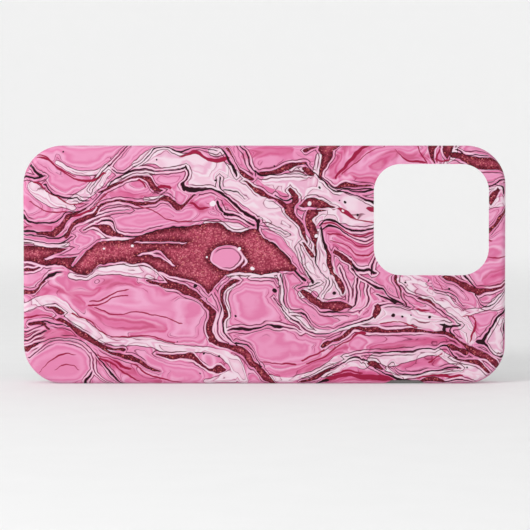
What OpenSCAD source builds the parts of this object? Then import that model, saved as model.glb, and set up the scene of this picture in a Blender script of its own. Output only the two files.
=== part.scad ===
// Two-layer phone case. A hard printed shell slides over a soft liner that carries the button caps.
// Built flat with the open front at z = 0 and the printed back on top, then stood on its long edge.

/* [Phone that the case fits] */
// Length of the phone
phone_length = 159.9; // [150:0.1:170]
// Width of the phone
phone_width = 76.7; // [72:0.1:80]
// Thickness of the phone
phone_thickness = 8.25; // [7.5:0.05:9.5]

/* [Walls] */
// Side wall of the hard shell
shell_wall = 1.0; // [0.9:0.05:1.3]
// Back wall of the hard shell
shell_back = 1.1; // [1.0:0.05:1.4]
// Side wall of the soft liner
liner_wall = 1.05; // [1.0:0.05:1.4]
// Back wall of the soft liner
liner_back = 1.2; // [1.2:0.05:1.5]
// Height of the front lip above the screen
lip_rise = 1.3; // [1.0:0.1:1.8]
// How far the front lip reaches over the screen
lip_reach = 0.95; // [0.7:0.05:1.2]
// Outer corner radius
corner_radius = 13.5; // [12:0.1:15]
// Rounding of the back edge
back_edge_radius = 2.0; // [1.6:0.1:2.4]

/* [Camera window] */
// Window size along the case
window_length = 39.2; // [36:0.1:41]
// Window size across the case
window_width = 37.9; // [36:0.1:40]
// Corner radius of the window
window_radius = 9.3; // [8:0.1:11]
// Margin from the top end of the case to the window
window_end_margin = 5.8; // [5.5:0.1:7]
// Margin from the case's upper long edge to the window
window_edge_margin = 6.3; // [6:0.1:7.5]

/* [Buttons] */
// Distance of the volume up button from the phone's top end
volume_up_from_top = 45.5; // [44:0.1:47]
// Spacing of the two volume buttons
volume_spacing = 13.7; // [13.2:0.1:15]
// Length of each volume cap
volume_cap_length = 9.9; // [9:0.1:10.2]
// Distance of the side button from the phone's top end
side_button_from_top = 52; // [50:0.1:54]
// Length of the side button cap
side_cap_length = 17.5; // [15:0.1:19]
// Width of every cap
cap_width = 2.7; // [2.4:0.1:3]
// Distance of the switch opening from the phone's top end
switch_from_top = 31.9; // [31:0.1:33]

/* [Magnets] */
// Number of arc magnets in the ring
magnet_count = 18; // [12:1:20]
// Outer radius of the magnet ring
ring_outer_radius = 28; // [27:0.1:28.5]
// Inner radius of the magnet ring
ring_inner_radius = 23; // [22:0.1:24]
// Thickness of the magnets
magnet_thickness = 0.55; // [0.45:0.05:0.6]

/* [Hidden] */
$fn = 96;
eps = 0.01;
over = 5;
phone_clearance = 0.1;
layer_gap = 0.15;
back_gap = 0.1;
lining_thickness = 0.3;
film_thickness = 0.15;
wall = shell_wall + layer_gap + liner_wall + phone_clearance;
case_length = phone_length + 2 * wall;
case_width = phone_width + 2 * wall;
half_width = case_width / 2;

// Heights from the open front (z = 0) to the printed back
screen_z = lip_rise;
lining_z = screen_z + phone_thickness + 0.05;
floor_z = lining_z + lining_thickness;
liner_top_z = floor_z + liner_back;
shell_floor_z = liner_top_z + back_gap;
case_depth = shell_floor_z + shell_back;
flange_z = 1.8;
shell_front_z = flange_z + 0.1;

// Outlines from the outside in
shell_in_length = case_length - 2 * shell_wall;
shell_in_width = case_width - 2 * shell_wall;
shell_in_radius = corner_radius - shell_wall;
liner_length = shell_in_length - 2 * layer_gap;
liner_width = shell_in_width - 2 * layer_gap;
liner_radius = shell_in_radius - layer_gap;
cavity_length = phone_length + 2 * phone_clearance;
cavity_width = phone_width + 2 * phone_clearance;
cavity_radius = liner_radius - liner_wall;
lip_length = cavity_length - 2 * lip_reach;
lip_width = cavity_width - 2 * lip_reach;
lip_radius = cavity_radius - lip_reach;
flange_inset = 0.05;
liner_edge_radius = 1.0;

// Camera window
window_x = case_length / 2 - window_end_margin - window_length / 2;
window_y = half_width - window_edge_margin - window_width / 2;
liner_window_grow = 0.6;

// Button stations along the case
top_end_x = phone_length / 2;
volume_up_x = top_end_x - volume_up_from_top;
volume_down_x = volume_up_x - volume_spacing;
side_x = top_end_x - side_button_from_top;
switch_x = top_end_x - switch_from_top;
button_z = screen_z + phone_thickness / 2;

// Button caps, measured outwards from the middle of the case
cap_face = half_width - 0.1;
cap_root = cavity_width / 2 + 0.1;
cap_foot_thickness = 0.35;
cap_foot_grow = 0.7;
slot_clear = 0.2;
relief_depth = 0.5;
relief_grow = 1.05;
cap_edge_radius = 0.35;

// Raised pads of the liner that fill the notches of the shell
pad_face = half_width - 0.15;
pad_end = 1.9;
pad_z = button_z + cap_width / 2 + 1.1;
notch_clear = 0.2;
volume_pad_start = volume_down_x - volume_cap_length / 2 - pad_end;
volume_pad_length = switch_x - volume_pad_start;
volume_pad_x = (switch_x + volume_pad_start) / 2;
side_pad_length = side_cap_length + 2 * pad_end;

// Switch opening with its flared pad
switch_inner_half = 4.9;
switch_outer_half = 6.9;
switch_slot_length = 7.4;
switch_slot_width = 3.8;
switch_pad_back = case_depth - 0.45;

// Openings in the port end
port_length = 13;
port_width = 6;
speaker_length = 13.5;
speaker_width = 2.4;
speaker_offset = 19.6;

// Magnets in the liner floor
magnet_z = floor_z + film_thickness;
magnet_gap_deg = 1.6;
magnet_clear = 0.15;
bar_length = 18;
bar_width = 5;
bar_x = -40;
film_ledge = 0.6;

// Stands the flat-built case on its lower long edge, printed back towards -Y
module stand() {
    translate([0, case_depth / 2, half_width])
        rotate([90, 0, 0])
            children();
}

module rounded_rectangle(l, w, r) {
    square([l - 2 * r, w], center = true);
    square([l, w - 2 * r], center = true);
    for (sx = [-1, 1], sy = [-1, 1])
        translate([sx * (l / 2 - r), sy * (w / 2 - r)])
            circle(r = r);
}

module stadium(l, w) {
    square([l - w, w], center = true);
    for (sx = [-1, 1])
        translate([sx * (l - w) / 2, 0])
            circle(r = w / 2);
}

module plate(l, w, r, h) {
    linear_extrude(height = h)
        rounded_rectangle(l, w, r);
}

// Half section of a soft-topped plate: straight side, top edge rounded by e
module soft_half_section(half, h, e) {
    square([half, h - e]);
    square([half - e, h]);
    translate([half - e, h - e])
        circle(r = e);
}

module soft_section(width, h, e) {
    soft_half_section(width / 2, h, e);
    mirror([1, 0])
        soft_half_section(width / 2, h, e);
}

// Rounded-rectangle plate whose top edge is rounded by e
module soft_plate(l, w, r, h, e) {
    rotate([90, 0, 90])
        linear_extrude(height = l - 2 * r, center = true)
            soft_section(w, h, e);
    rotate([90, 0, 0])
        linear_extrude(height = w - 2 * r, center = true)
            soft_section(l, h, e);
    for (sx = [-1, 1], sy = [-1, 1])
        translate([sx * (l / 2 - r), sy * (w / 2 - r), 0])
            rotate_extrude()
                soft_half_section(r, h, e);
}

// Stadium plate whose top edge is rounded by e
module soft_stadium(l, w, h, e) {
    rotate([90, 0, 90])
        linear_extrude(height = l - w, center = true)
            soft_section(w, h, e);
    for (sx = [-1, 1])
        translate([sx * (l - w) / 2, 0, 0])
            rotate_extrude()
                soft_half_section(w / 2, h, e);
}

// Stadium prism pointing outwards (+y) from y0 to y1, centred on x and z
module side_stadium(x, z, length, width, y0, y1) {
    translate([x, y0, z])
        rotate([-90, 0, 0])
            linear_extrude(height = y1 - y0)
                stadium(length, width);
}

// Mirrors its children to the lower long edge
module lower_edge() {
    mirror([0, 1, 0])
        children();
}

// Notch of the shell, open to the front, with rounded inner corners
module shell_notch(x, length, depth_z) {
    r = 1.4;
    reach = length + 2 * notch_clear;
    translate([x, half_width - shell_wall - 1, 0])
        rotate([90, 0, 0])
            mirror([0, 0, 1])
                linear_extrude(height = 1 + shell_wall + over)
                    notch_outline(reach, depth_z + notch_clear, r);
}

module notch_outline(length, top, r) {
    translate([-length / 2, -over])
        square([length, top - r + over]);
    translate([-length / 2 + r, -over])
        square([length - 2 * r, top + over]);
    for (sx = [-1, 1])
        translate([sx * (length / 2 - r), top - r])
            circle(r = r);
}

// Pad of the liner that fills the notch flush with the shell
module liner_pad(x, length) {
    r = 1.2;
    intersection() {
        translate([x, half_width - shell_wall - layer_gap - 0.6, 0])
            rotate([90, 0, 0])
                mirror([0, 0, 1])
                    linear_extrude(height = pad_face - (half_width - shell_wall - layer_gap - 0.6))
                        notch_outline(length, pad_z, r);
        translate([x - length, 0, flange_z - 0.5])
            cube([2 * length, case_width, case_depth]);
    }
}

// Flared outline of the switch pad, in plan, from y0 outwards to y1
module flare(y0, y1, grow) {
    slope = (switch_outer_half - switch_inner_half) / shell_wall;
    base = half_width - shell_wall;
    inner = switch_inner_half + grow + (y0 - base) * slope;
    outer = switch_inner_half + grow + (y1 - base) * slope;
    polygon([[-inner, y0], [inner, y0], [outer, y1], [-outer, y1]]);
}

module switch_notch() {
    translate([switch_x, 0, -over])
        linear_extrude(height = case_depth + 2 * over)
            flare(half_width - shell_wall - 0.3, half_width + 1, 0.25);
}

// Pad round the switch opening, reaching into the rounded back edge
module switch_pad() {
    low = half_width - shell_wall - layer_gap;
    intersection() {
        translate([switch_x, 0, flange_z - 0.5])
            linear_extrude(height = case_depth)
                flare(low - 0.02, pad_face, 0);
        translate([switch_x, 0, 0])
            rotate([90, 0, 90])
                linear_extrude(height = 30, center = true)
                    soft_half_section(pad_face, switch_pad_back, 1.6);
    }
    translate([switch_x - switch_inner_half + 0.4, low - 0.5, flange_z - 0.5])
        cube([2 * switch_inner_half - 0.8, 0.6, liner_top_z - flange_z - 0.5]);
}

module window_cut(grow, z0, z1) {
    translate([window_x, window_y, z0])
        plate(window_length + 2 * grow, window_width + 2 * grow, window_radius + grow, z1 - z0);
}

module port_cut(grow) {
    depth = case_length / 2;
    for (hole = [[0, port_length, port_width], [speaker_offset, speaker_length, speaker_width],
        [-speaker_offset, speaker_length, speaker_width]])
        rotate([0, 0, 90])
            side_stadium(hole[0], button_z, hole[1] + 2 * grow, hole[2] + 2 * grow,
                depth - wall - 2, depth + over);
}

module shell_body() {
    difference() {
        soft_plate(case_length, case_width, corner_radius, case_depth, back_edge_radius);
        soft_plate(shell_in_length, shell_in_width, shell_in_radius, shell_floor_z, liner_edge_radius);
        translate([0, 0, -eps])
            plate(case_length + over, case_width + over, corner_radius, shell_front_z + eps);
        window_cut(0, shell_floor_z - 1, case_depth + 1);
        port_cut(0);
        shell_notch(side_x, side_pad_length, pad_z);
        lower_edge()
            shell_notch(volume_pad_x, volume_pad_length, pad_z);
        lower_edge()
            switch_notch();
    }
}

module flange() {
    translate([0, 0, flange_z])
        mirror([0, 0, 1])
            soft_plate(case_length - 2 * flange_inset, case_width - 2 * flange_inset,
                corner_radius - flange_inset, flange_z, 0.8);
}

module cap_slot(x, length) {
    side_stadium(x, button_z, length + 2 * slot_clear, cap_width + 2 * slot_clear,
        cavity_width / 2 - 1, half_width + 1);
    side_stadium(x, button_z, length + 2 * relief_grow, cap_width + 2 * relief_grow,
        cavity_width / 2 - 1, cavity_width / 2 + relief_depth);
}

module ring(inner, outer, z0, z1) {
    translate([0, 0, z0])
        linear_extrude(height = z1 - z0)
            difference() {
                circle(r = outer);
                circle(r = inner);
            }
}

module liner_body() {
    difference() {
        union() {
            flange();
            soft_plate(liner_length, liner_width, liner_radius, liner_top_z, liner_edge_radius);
            liner_pad(side_x, side_pad_length);
            lower_edge()
                liner_pad(volume_pad_x, volume_pad_length);
            lower_edge()
                switch_pad();
        }
        translate([0, 0, screen_z])
            plate(cavity_length, cavity_width, cavity_radius, floor_z - screen_z);
        translate([0, 0, -1])
            plate(lip_length, lip_width, lip_radius, screen_z + 1.5);
        window_cut(liner_window_grow, floor_z - 1, liner_top_z + 1);
        port_cut(0.25);
        cap_slot(side_x, side_cap_length);
        lower_edge()
            cap_slot(volume_up_x, volume_cap_length);
        lower_edge()
            cap_slot(volume_down_x, volume_cap_length);
        lower_edge()
            side_stadium(switch_x, button_z, switch_slot_length, switch_slot_width,
                cavity_width / 2 - 1, half_width + 1);
        ring(ring_inner_radius - magnet_clear, ring_outer_radius + magnet_clear,
            floor_z - 0.2, magnet_z + magnet_thickness);
        ring(ring_inner_radius - film_ledge, ring_outer_radius + film_ledge, floor_z - 0.2, magnet_z);
        translate([bar_x, 0, floor_z - 0.2])
            plate(bar_width + 2 * magnet_clear, bar_length + 2 * magnet_clear, 0.5,
                magnet_z + magnet_thickness - floor_z + 0.2);
        translate([bar_x, 0, floor_z - 0.2])
            plate(bar_width + 2 * film_ledge, bar_length + 2 * film_ledge, 1, film_thickness + 0.2);
    }
}

// Cap with a rounded outer face and a foot that keeps it in the liner
module button_cap(x, length) {
    height = cap_face - cap_root;
    translate([x, cap_root, button_z])
        rotate([-90, 0, 0]) {
            soft_stadium(length, cap_width, height, cap_edge_radius);
            linear_extrude(height = cap_foot_thickness)
                stadium(length + 2 * cap_foot_grow, cap_width + 2 * cap_foot_grow);
        }
}

// The hard printed shell
module outer_shell() {
    color("hotpink")
        stand()
            shell_body();
}

// The soft liner with its front lip
module liner_tray() {
    color("dimgray")
        stand()
            liner_body();
}

// The brushed lining on the floor of the liner
module microfibre_lining() {
    color("mediumpurple")
        stand()
            difference() {
                translate([0, 0, lining_z])
                    plate(cavity_length - 1.2, cavity_width - 1.2, cavity_radius - 0.6, lining_thickness);
                window_cut(liner_window_grow + 0.8, lining_z - 1, floor_z + 1);
            }
}

// The arc magnets, all separate and alternating round the ring
module ring_magnets() {
    step = 360 / magnet_count;
    color("silver")
        stand()
            translate([0, 0, magnet_z])
                for (i = [0 : magnet_count - 1])
                    rotate([0, 0, i * step])
                        rotate_extrude(angle = step - magnet_gap_deg)
                            translate([ring_inner_radius, 0])
                                square([ring_outer_radius - ring_inner_radius, magnet_thickness]);
}

// The film over the ring of magnets
module ring_magnet_film() {
    color("white")
        stand()
            ring(ring_inner_radius - film_ledge + 0.05, ring_outer_radius + film_ledge - 0.05, floor_z, magnet_z);
}

// The bar magnet below the ring
module alignment_magnet() {
    color("silver")
        stand()
            translate([bar_x, 0, magnet_z])
                plate(bar_width, bar_length, 0.4, magnet_thickness);
}

// The film over the bar magnet
module bar_magnet_film() {
    color("white")
        stand()
            translate([bar_x, 0, floor_z])
                plate(bar_width + 2 * film_ledge - 0.1, bar_length + 2 * film_ledge - 0.1, 0.95, film_thickness);
}

// The volume up cap
module volume_up_cap() {
    color("darkorange")
        stand()
            lower_edge()
                button_cap(volume_up_x, volume_cap_length);
}

// The volume down cap
module volume_down_cap() {
    color("gold")
        stand()
            lower_edge()
                button_cap(volume_down_x, volume_cap_length);
}

// The side button cap
module side_button_cap() {
    color("limegreen")
        stand()
            button_cap(side_x, side_cap_length);
}

outer_shell();
liner_tray();
microfibre_lining();
ring_magnets();
ring_magnet_film();
alignment_magnet();
bar_magnet_film();
volume_up_cap();
volume_down_cap();
side_button_cap();
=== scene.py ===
import math

import bmesh
import bpy
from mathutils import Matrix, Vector, kdtree, noise


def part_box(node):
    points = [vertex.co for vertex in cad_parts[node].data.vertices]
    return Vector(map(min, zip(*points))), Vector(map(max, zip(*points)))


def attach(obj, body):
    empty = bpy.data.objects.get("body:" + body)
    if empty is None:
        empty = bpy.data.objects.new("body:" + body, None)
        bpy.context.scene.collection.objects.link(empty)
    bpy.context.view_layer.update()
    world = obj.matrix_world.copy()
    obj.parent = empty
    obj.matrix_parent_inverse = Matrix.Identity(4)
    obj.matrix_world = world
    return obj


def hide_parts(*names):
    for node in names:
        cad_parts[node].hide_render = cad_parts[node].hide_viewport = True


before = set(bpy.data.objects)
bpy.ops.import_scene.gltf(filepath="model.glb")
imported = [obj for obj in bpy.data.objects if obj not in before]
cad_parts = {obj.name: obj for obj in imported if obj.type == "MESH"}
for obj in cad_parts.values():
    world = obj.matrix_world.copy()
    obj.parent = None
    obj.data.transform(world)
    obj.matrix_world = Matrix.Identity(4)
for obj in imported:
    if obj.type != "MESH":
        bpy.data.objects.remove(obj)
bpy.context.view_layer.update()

# A hard printed phone case over a soft liner, standing on its long edge: X runs along the case, Y from
# the printed back to the open front, Z up. Named lengths are millimetres, or metres if they end in _M.
MM = 0.001
SHELL_LOW_M, SHELL_HIGH_M = [Vector(corner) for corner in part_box("outer_shell")]
HALF_LENGTH = SHELL_HIGH_M.x / MM
MID_Z = SHELL_HIGH_M.z / MM / 2
BACK_Y = SHELL_LOW_M.y / MM
EDGE_ROUND = 2.0
CORNER_ROUND = 13.5

# The magnets under the lining: a ring round the middle of the case, and a bar beside it
RING_RADIUS = 25.5
RING_HALF_WIDTH = 2.6
BAR_X = -40.0
BAR_HALF = (2.5, 9.0)

# Line work. The stroke curves are stored as shares of these spans, which reach past the edges that the
# print wraps round. Distances are counted in WIDTH_UNIT; a half width is stored as LEVEL less itself.
SPAN_X = 96.0
SPAN_Z = 56.0
WIDTH_UNIT = 8.0
LEVEL = 2.0
# What follows each end of a stroke, so that it closes to a point: (way past the end, half width)
TIPS = [(1.1, -0.3), (6.0, -6.0)]


def srgb(red, green, blue):
    """Linear colour, with alpha, of an 8-bit screen colour."""
    def channel(value):
        value /= 255
        return value / 12.92 if value <= 0.04045 else ((value + 0.055) / 1.055) ** 2.4
    return (channel(red), channel(green), channel(blue), 1.0)


# ---------------------------------------------------------------- marble layout
# A stroke is (axis it runs along, [(place along it, place across it, half width), ...]).
# A drop or pebble is (x, z, half length, half height).
GLITTER = [
    ("x", [(-96, 44.6, 2.6), (-80, 44.4, 2.8), (-75, 43.8, 3.2), (-70, 43.4, 3.2), (-66, 42.4, 3.4),
        (-62, 41.6, 3.4), (-59, 42.6, 3.9), (-56, 44.8, 4), (-50, 45.2, 3.6), (-45, 45.4, 4.3),
        (-40, 46.2, 5.2), (-36, 45.4, 7.2), (-32, 43.4, 9.6), (-27, 42.6, 11.2), (-22, 42, 12.6),
        (-18, 43.6, 11.6), (-14, 45.2, 8.9), (-9, 44.8, 7), (-4, 45.4, 7.6), (0, 43.6, 6.2), (4, 42.2, 4.6),
        (7, 41, 2.8), (10, 39.2, 0.9)]),
    ("x", [(-77, 51.4, 0.4), (-73, 51.4, 0.9), (-71, 52.3, 1.5), (-69, 54, 1.5), (-67, 56.5, 1.1),
        (-64, 58.3, 0.5), (-61, 59.6, 0.3)]),
    ("x", [(-67.5, 50.6, 1), (-66.3, 52.2, 1.5), (-64.5, 55, 0.9), (-62, 56.2, 0.9), (-59, 57, 0.9),
        (-57, 59, 0.8), (-55.5, 61, 0.5), (-52, 62.1, 0.3), (-48, 62, 0.35), (-44, 61.4, 0.6),
        (-40, 61.3, 0.6), (-37, 61.6, 0.4), (-34, 63.4, 0.9), (-31, 61.4, 1.2), (-29, 60.4, 1),
        (-27, 61.6, 0.6), (-24, 64.4, 0.3)]),
    ("x", [(-56, 65.4, 0.3), (-52, 67, 0.5), (-49, 68.2, 0.4), (-46, 69.8, 0.35), (-42, 70.5, 0.45),
        (-40, 69.8, 1), (-38.5, 68.6, 1.8), (-37, 67.3, 0.9), (-35, 66.2, 0.4)]),
    ("x", [(-61, 52.6, 0.3), (-58, 53.8, 0.3), (-55.5, 53.4, 1), (-53.4, 52.6, 1.7), (-51, 51, 1),
        (-48, 50.3, 0.4)]),
    ("x", [(-67, 40.2, 1), (-64, 39.2, 1.2), (-61, 38.8, 1.1), (-59, 39.6, 1)]),
    ("x", [(-40, 35, 0.3), (-36, 33.8, 0.7), (-33, 33.5, 1), (-30, 32.8, 0.9), (-27, 31.4, 0.9),
        (-24, 29.8, 0.5), (-21, 28, 0.6), (-19.6, 26.6, 0.9)]),
    ("z", [(15.2, -16.8, 0.9), (16.6, -18, 1.1), (18.4, -18.9, 1.1), (20.4, -18.6, 1.1), (22.4, -18, 1.1),
        (24.2, -17.8, 1.2), (26, -18.9, 1.1), (27.4, -20.2, 0.8)]),
    ("x", [(-18.2, 15.4, 0.9), (-16, 14.2, 0.9), (-13, 13, 0.8), (-10.5, 12.2, 1.1), (-8, 11.2, 1.9),
        (-5.4, 8.6, 2.2), (-3, 6, 1.3), (-0.8, 3.6, 1.9), (1.6, 1.2, 1.5), (4, -3, 1.4)]),
    ("x", [(-13.5, 32.8, 0.6), (-12, 34.4, 0.9), (-10.4, 35.3, 0.8), (-8.8, 35.6, 0.4)]),
    ("z", [(22, -13.9, 0.5), (23.8, -12.9, 0.9), (26, -13.6, 0.6), (28.4, -14.5, 0.5), (31, -14.6, 0.6),
        (33, -13.4, 0.7)]),
    ("x", [(-74, 26.3, 0.3), (-72, 26.2, 0.5), (-70, 25, 1.2), (-68.4, 24.2, 0.6)]),
    ("x", [(-70, 22.2, 0.3), (-68, 21.4, 0.7), (-66, 19.8, 0.8), (-63, 17.4, 1.2), (-60, 15.5, 1.2),
        (-57, 13.8, 1), (-53, 12.2, 0.5), (-50, 11.7, 0.4), (-48, 11.7, 0.7)]),
    ("x", [(-56, 12.8, 0.3), (-52, 10.4, 0.5), (-48, 9.2, 0.8), (-45, 8.3, 0.8), (-42, 7.1, 0.9),
        (-39, 5.4, 0.5), (-36, 4.3, 0.3)]),
    ("x", [(-36.6, 10.5, 0.3), (-34, 9.8, 0.6), (-31, 9.2, 0.8), (-28, 9.4, 0.7), (-25, 9.6, 1.1),
        (-23, 8.5, 1.1), (-21, 6.7, 0.5), (-18.4, 5, 0.4), (-16, 5.2, 1.2), (-14, 4.8, 0.8)]),
    ("x", [(-96, 31.2, 0.9), (-82, 31.2, 0.9), (-79, 31.3, 0.7), (-77, 33, 0.5), (-75.4, 35, 0.4)]),
    ("x", [(-96, 38.8, 0.6), (-81, 38.8, 0.6), (-79, 39, 0.5), (-77, 39.8, 0.25)]),
    ("x", [(-80, 20.6, 0.5), (-77.5, 20.8, 0.6), (-75.2, 20, 0.5), (-74, 18.9, 0.5)]),
    ("x", [(-96, 11.4, 1), (-81, 11.8, 1), (-79.4, 12.8, 0.6), (-77.8, 13.8, 0.25)]),
    ("x", [(-6.6, 69.3, 0.3), (-5, 68, 0.7), (-3, 66.2, 1), (-1, 65.2, 1.1), (1, 64.4, 0.6), (3, 63.4, 0.5),
        (5, 62, 0.8), (7, 60.6, 1)]),
    ("z", [(48.4, 14.5, 0.3), (50.4, 13.4, 0.7), (53, 13, 1), (55, 11.8, 1.3), (57, 9.9, 1.5),
        (59, 8.5, 1.8), (60.8, 8.6, 2), (62.4, 10.4, 1.1), (64.2, 10.3, 1.2), (65.8, 8.9, 0.9)]),
    ("x", [(12.2, 60.6, 0.4), (13.4, 61.2, 1.2), (15, 61.8, 1.7), (17, 61.8, 1.8), (19, 61.5, 1.6),
        (21, 61, 1), (23.6, 60, 0.3)]),
    ("z", [(45, 17.4, 0.3), (47.6, 17.6, 0.5), (50, 17, 1.2), (52.4, 16.4, 1.5), (54.2, 15.7, 1.4),
        (56.2, 15.2, 1.2), (58, 16.4, 1.9)]),
    ("x", [(15.4, 58.4, 0.8), (18, 58.9, 0.5), (20.4, 59.2, 0.25)]),
    ("x", [(13, 48.2, 0.3), (14.4, 46.4, 0.9), (15.6, 45, 0.9), (17, 43.7, 0.3)]),
    ("x", [(-1, 71.8, 0.5), (2, 71.9, 0.7), (5, 72.8, 1.1), (8, 74, 1.3), (11, 74.9, 0.5),
        (14, 75.2, 0.35)]),
    ("x", [(13.2, 73.2, 0.5), (14.6, 72.8, 1.2), (16.2, 71.8, 0.8)]),
    ("z", [(70.4, 18.9, 0.4), (72, 19.2, 0.7), (74, 20, 1.2), (76, 20.9, 1.6), (78, 21.2, 1.9),
        (79.4, 20.9, 2.4), (80.6, 21.6, 3), (82, 22.4, 3.4), (95, 24, 4)]),
    ("x", [(13.8, 79.4, 0.7), (14.8, 79.8, 0.9), (17.4, 81, 0.4)]),
    ("x", [(24.6, 67.4, 0.3), (27.8, 67.9, 0.8), (31, 67.5, 0.4), (36, 67.1, 0.2)]),
    ("x", [(-12.4, 80.6, 0.9), (-11, 78.2, 0.5), (-9.6, 75.2, 0.4), (-8, 72.6, 0.7), (-6.2, 71.2, 1),
        (-4.4, 70.4, 0.5)]),
    ("x", [(12.9, 31.6, 0.8), (15, 30.2, 1.4), (17, 28.7, 1.5), (20, 27, 1.2), (22, 26.6, 1.4),
        (24.6, 26.3, 1.9), (27, 26.8, 1.2), (29.6, 26.2, 0.3)]),
    ("z", [(31.4, 26.8, 0.4), (33.4, 26.2, 1), (35.2, 25.4, 1.2), (36.6, 24.6, 0.8), (38.4, 22.9, 0.7),
        (40.4, 22.3, 0.8), (43, 22, 0.7), (46, 21.2, 0.4)]),
    ("z", [(23, 37.4, 0.7), (24.8, 38.2, 1.2), (26.6, 38.6, 0.8)]),
    ("x", [(19.6, 12.5, 0.5), (21, 13.3, 0.9), (23, 14.3, 0.4), (25, 15.2, 0.7), (27, 16.8, 0.8),
        (29, 18.2, 0.8), (31, 18.9, 0.5), (34, 18.5, 0.7), (38, 18.5, 0.9), (42, 18.2, 0.6),
        (46, 18.1, 0.6), (50, 18.4, 0.9), (53, 18.2, 0.4), (57, 17.7, 0.3), (61, 17.8, 0.7),
        (63, 16.8, 0.7), (66, 15, 0.4), (69, 12.6, 0.7), (72, 11, 1.2), (75, 9.7, 1.3), (78, 7.6, 1.4),
        (80, 6, 1.2), (90, 0, 1)]),
    ("x", [(62.6, 13.2, 0.3), (64.4, 12.2, 1.1), (66.4, 11.6, 0.6), (69, 10.8, 0.9)]),
    ("x", [(65, 8.8, 0.25), (68, 8, 0.3), (71, 7.8, 0.7), (73.4, 7, 1), (75, 5, 0.8), (76.8, 3.3, 0.4)]),
    ("x", [(61.4, 36.6, 0.5), (63, 36.3, 0.9), (65, 35.4, 0.9), (67, 33.9, 1.2), (69, 32.7, 1.3),
        (71, 32, 1), (73, 31.3, 1), (76, 31.6, 0.6), (79, 32.3, 0.5), (82, 33.8, 0.3), (96, 36, 0.3)]),
    ("z", [(27.4, 48.4, 0.3), (30, 46.8, 0.3), (33.2, 46, 0.3), (34.8, 45, 0.5), (36.2, 44.6, 0.6)]),
    ("x", [(52.6, 29.4, 0.3), (54.6, 28.9, 0.4), (57, 27.6, 0.7), (58.2, 26.2, 0.3)]),
    ("x", [(36, 7, 0.8), (38.4, 6.6, 1.2), (40, 5.4, 0.5)]),
    ("x", [(54, 1, 0.6), (56, 1.4, 0.9), (58, 1.4, 1), (61, 0.6, 0.6)]),
    ("x", [(13, 0.2, 0.8), (16, 1.8, 0.8), (19, 3.3, 0.7), (22, 4.7, 0.35)]),
    ("x", [(64, 78.4, 0.8), (67, 77.4, 1.1), (70, 76, 1.7), (73, 75.4, 2.2), (76, 75.4, 2.4), (79, 75.2, 2),
        (82, 74.6, 1.6), (96, 73, 1)]),
    ("z", [(75.8, 58, 0.3), (77.4, 57.2, 0.7), (79.4, 56.8, 1), (81.4, 57.2, 1.4), (95, 57, 1.5)]),
    ("z", [(77.6, 62.4, 0.5), (79.2, 62.2, 1.4), (81, 62.6, 2), (95, 63, 2)]),
    ("z", [(61.6, 77, 0.5), (63.4, 77.4, 1.2), (65.4, 78.6, 1), (66.6, 79.6, 0.4)]),
    ("x", [(76.2, 52, 0.6), (78.4, 54, 0.9), (80.4, 56.6, 1.1), (82.4, 59, 0.9), (96, 66, 0.6)]),
    ("z", [(40.2, 29.6, 0.3), (42.2, 27.6, 1.2), (44.4, 24.6, 1.3), (45.4, 24, 0.4)]),
]
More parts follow.
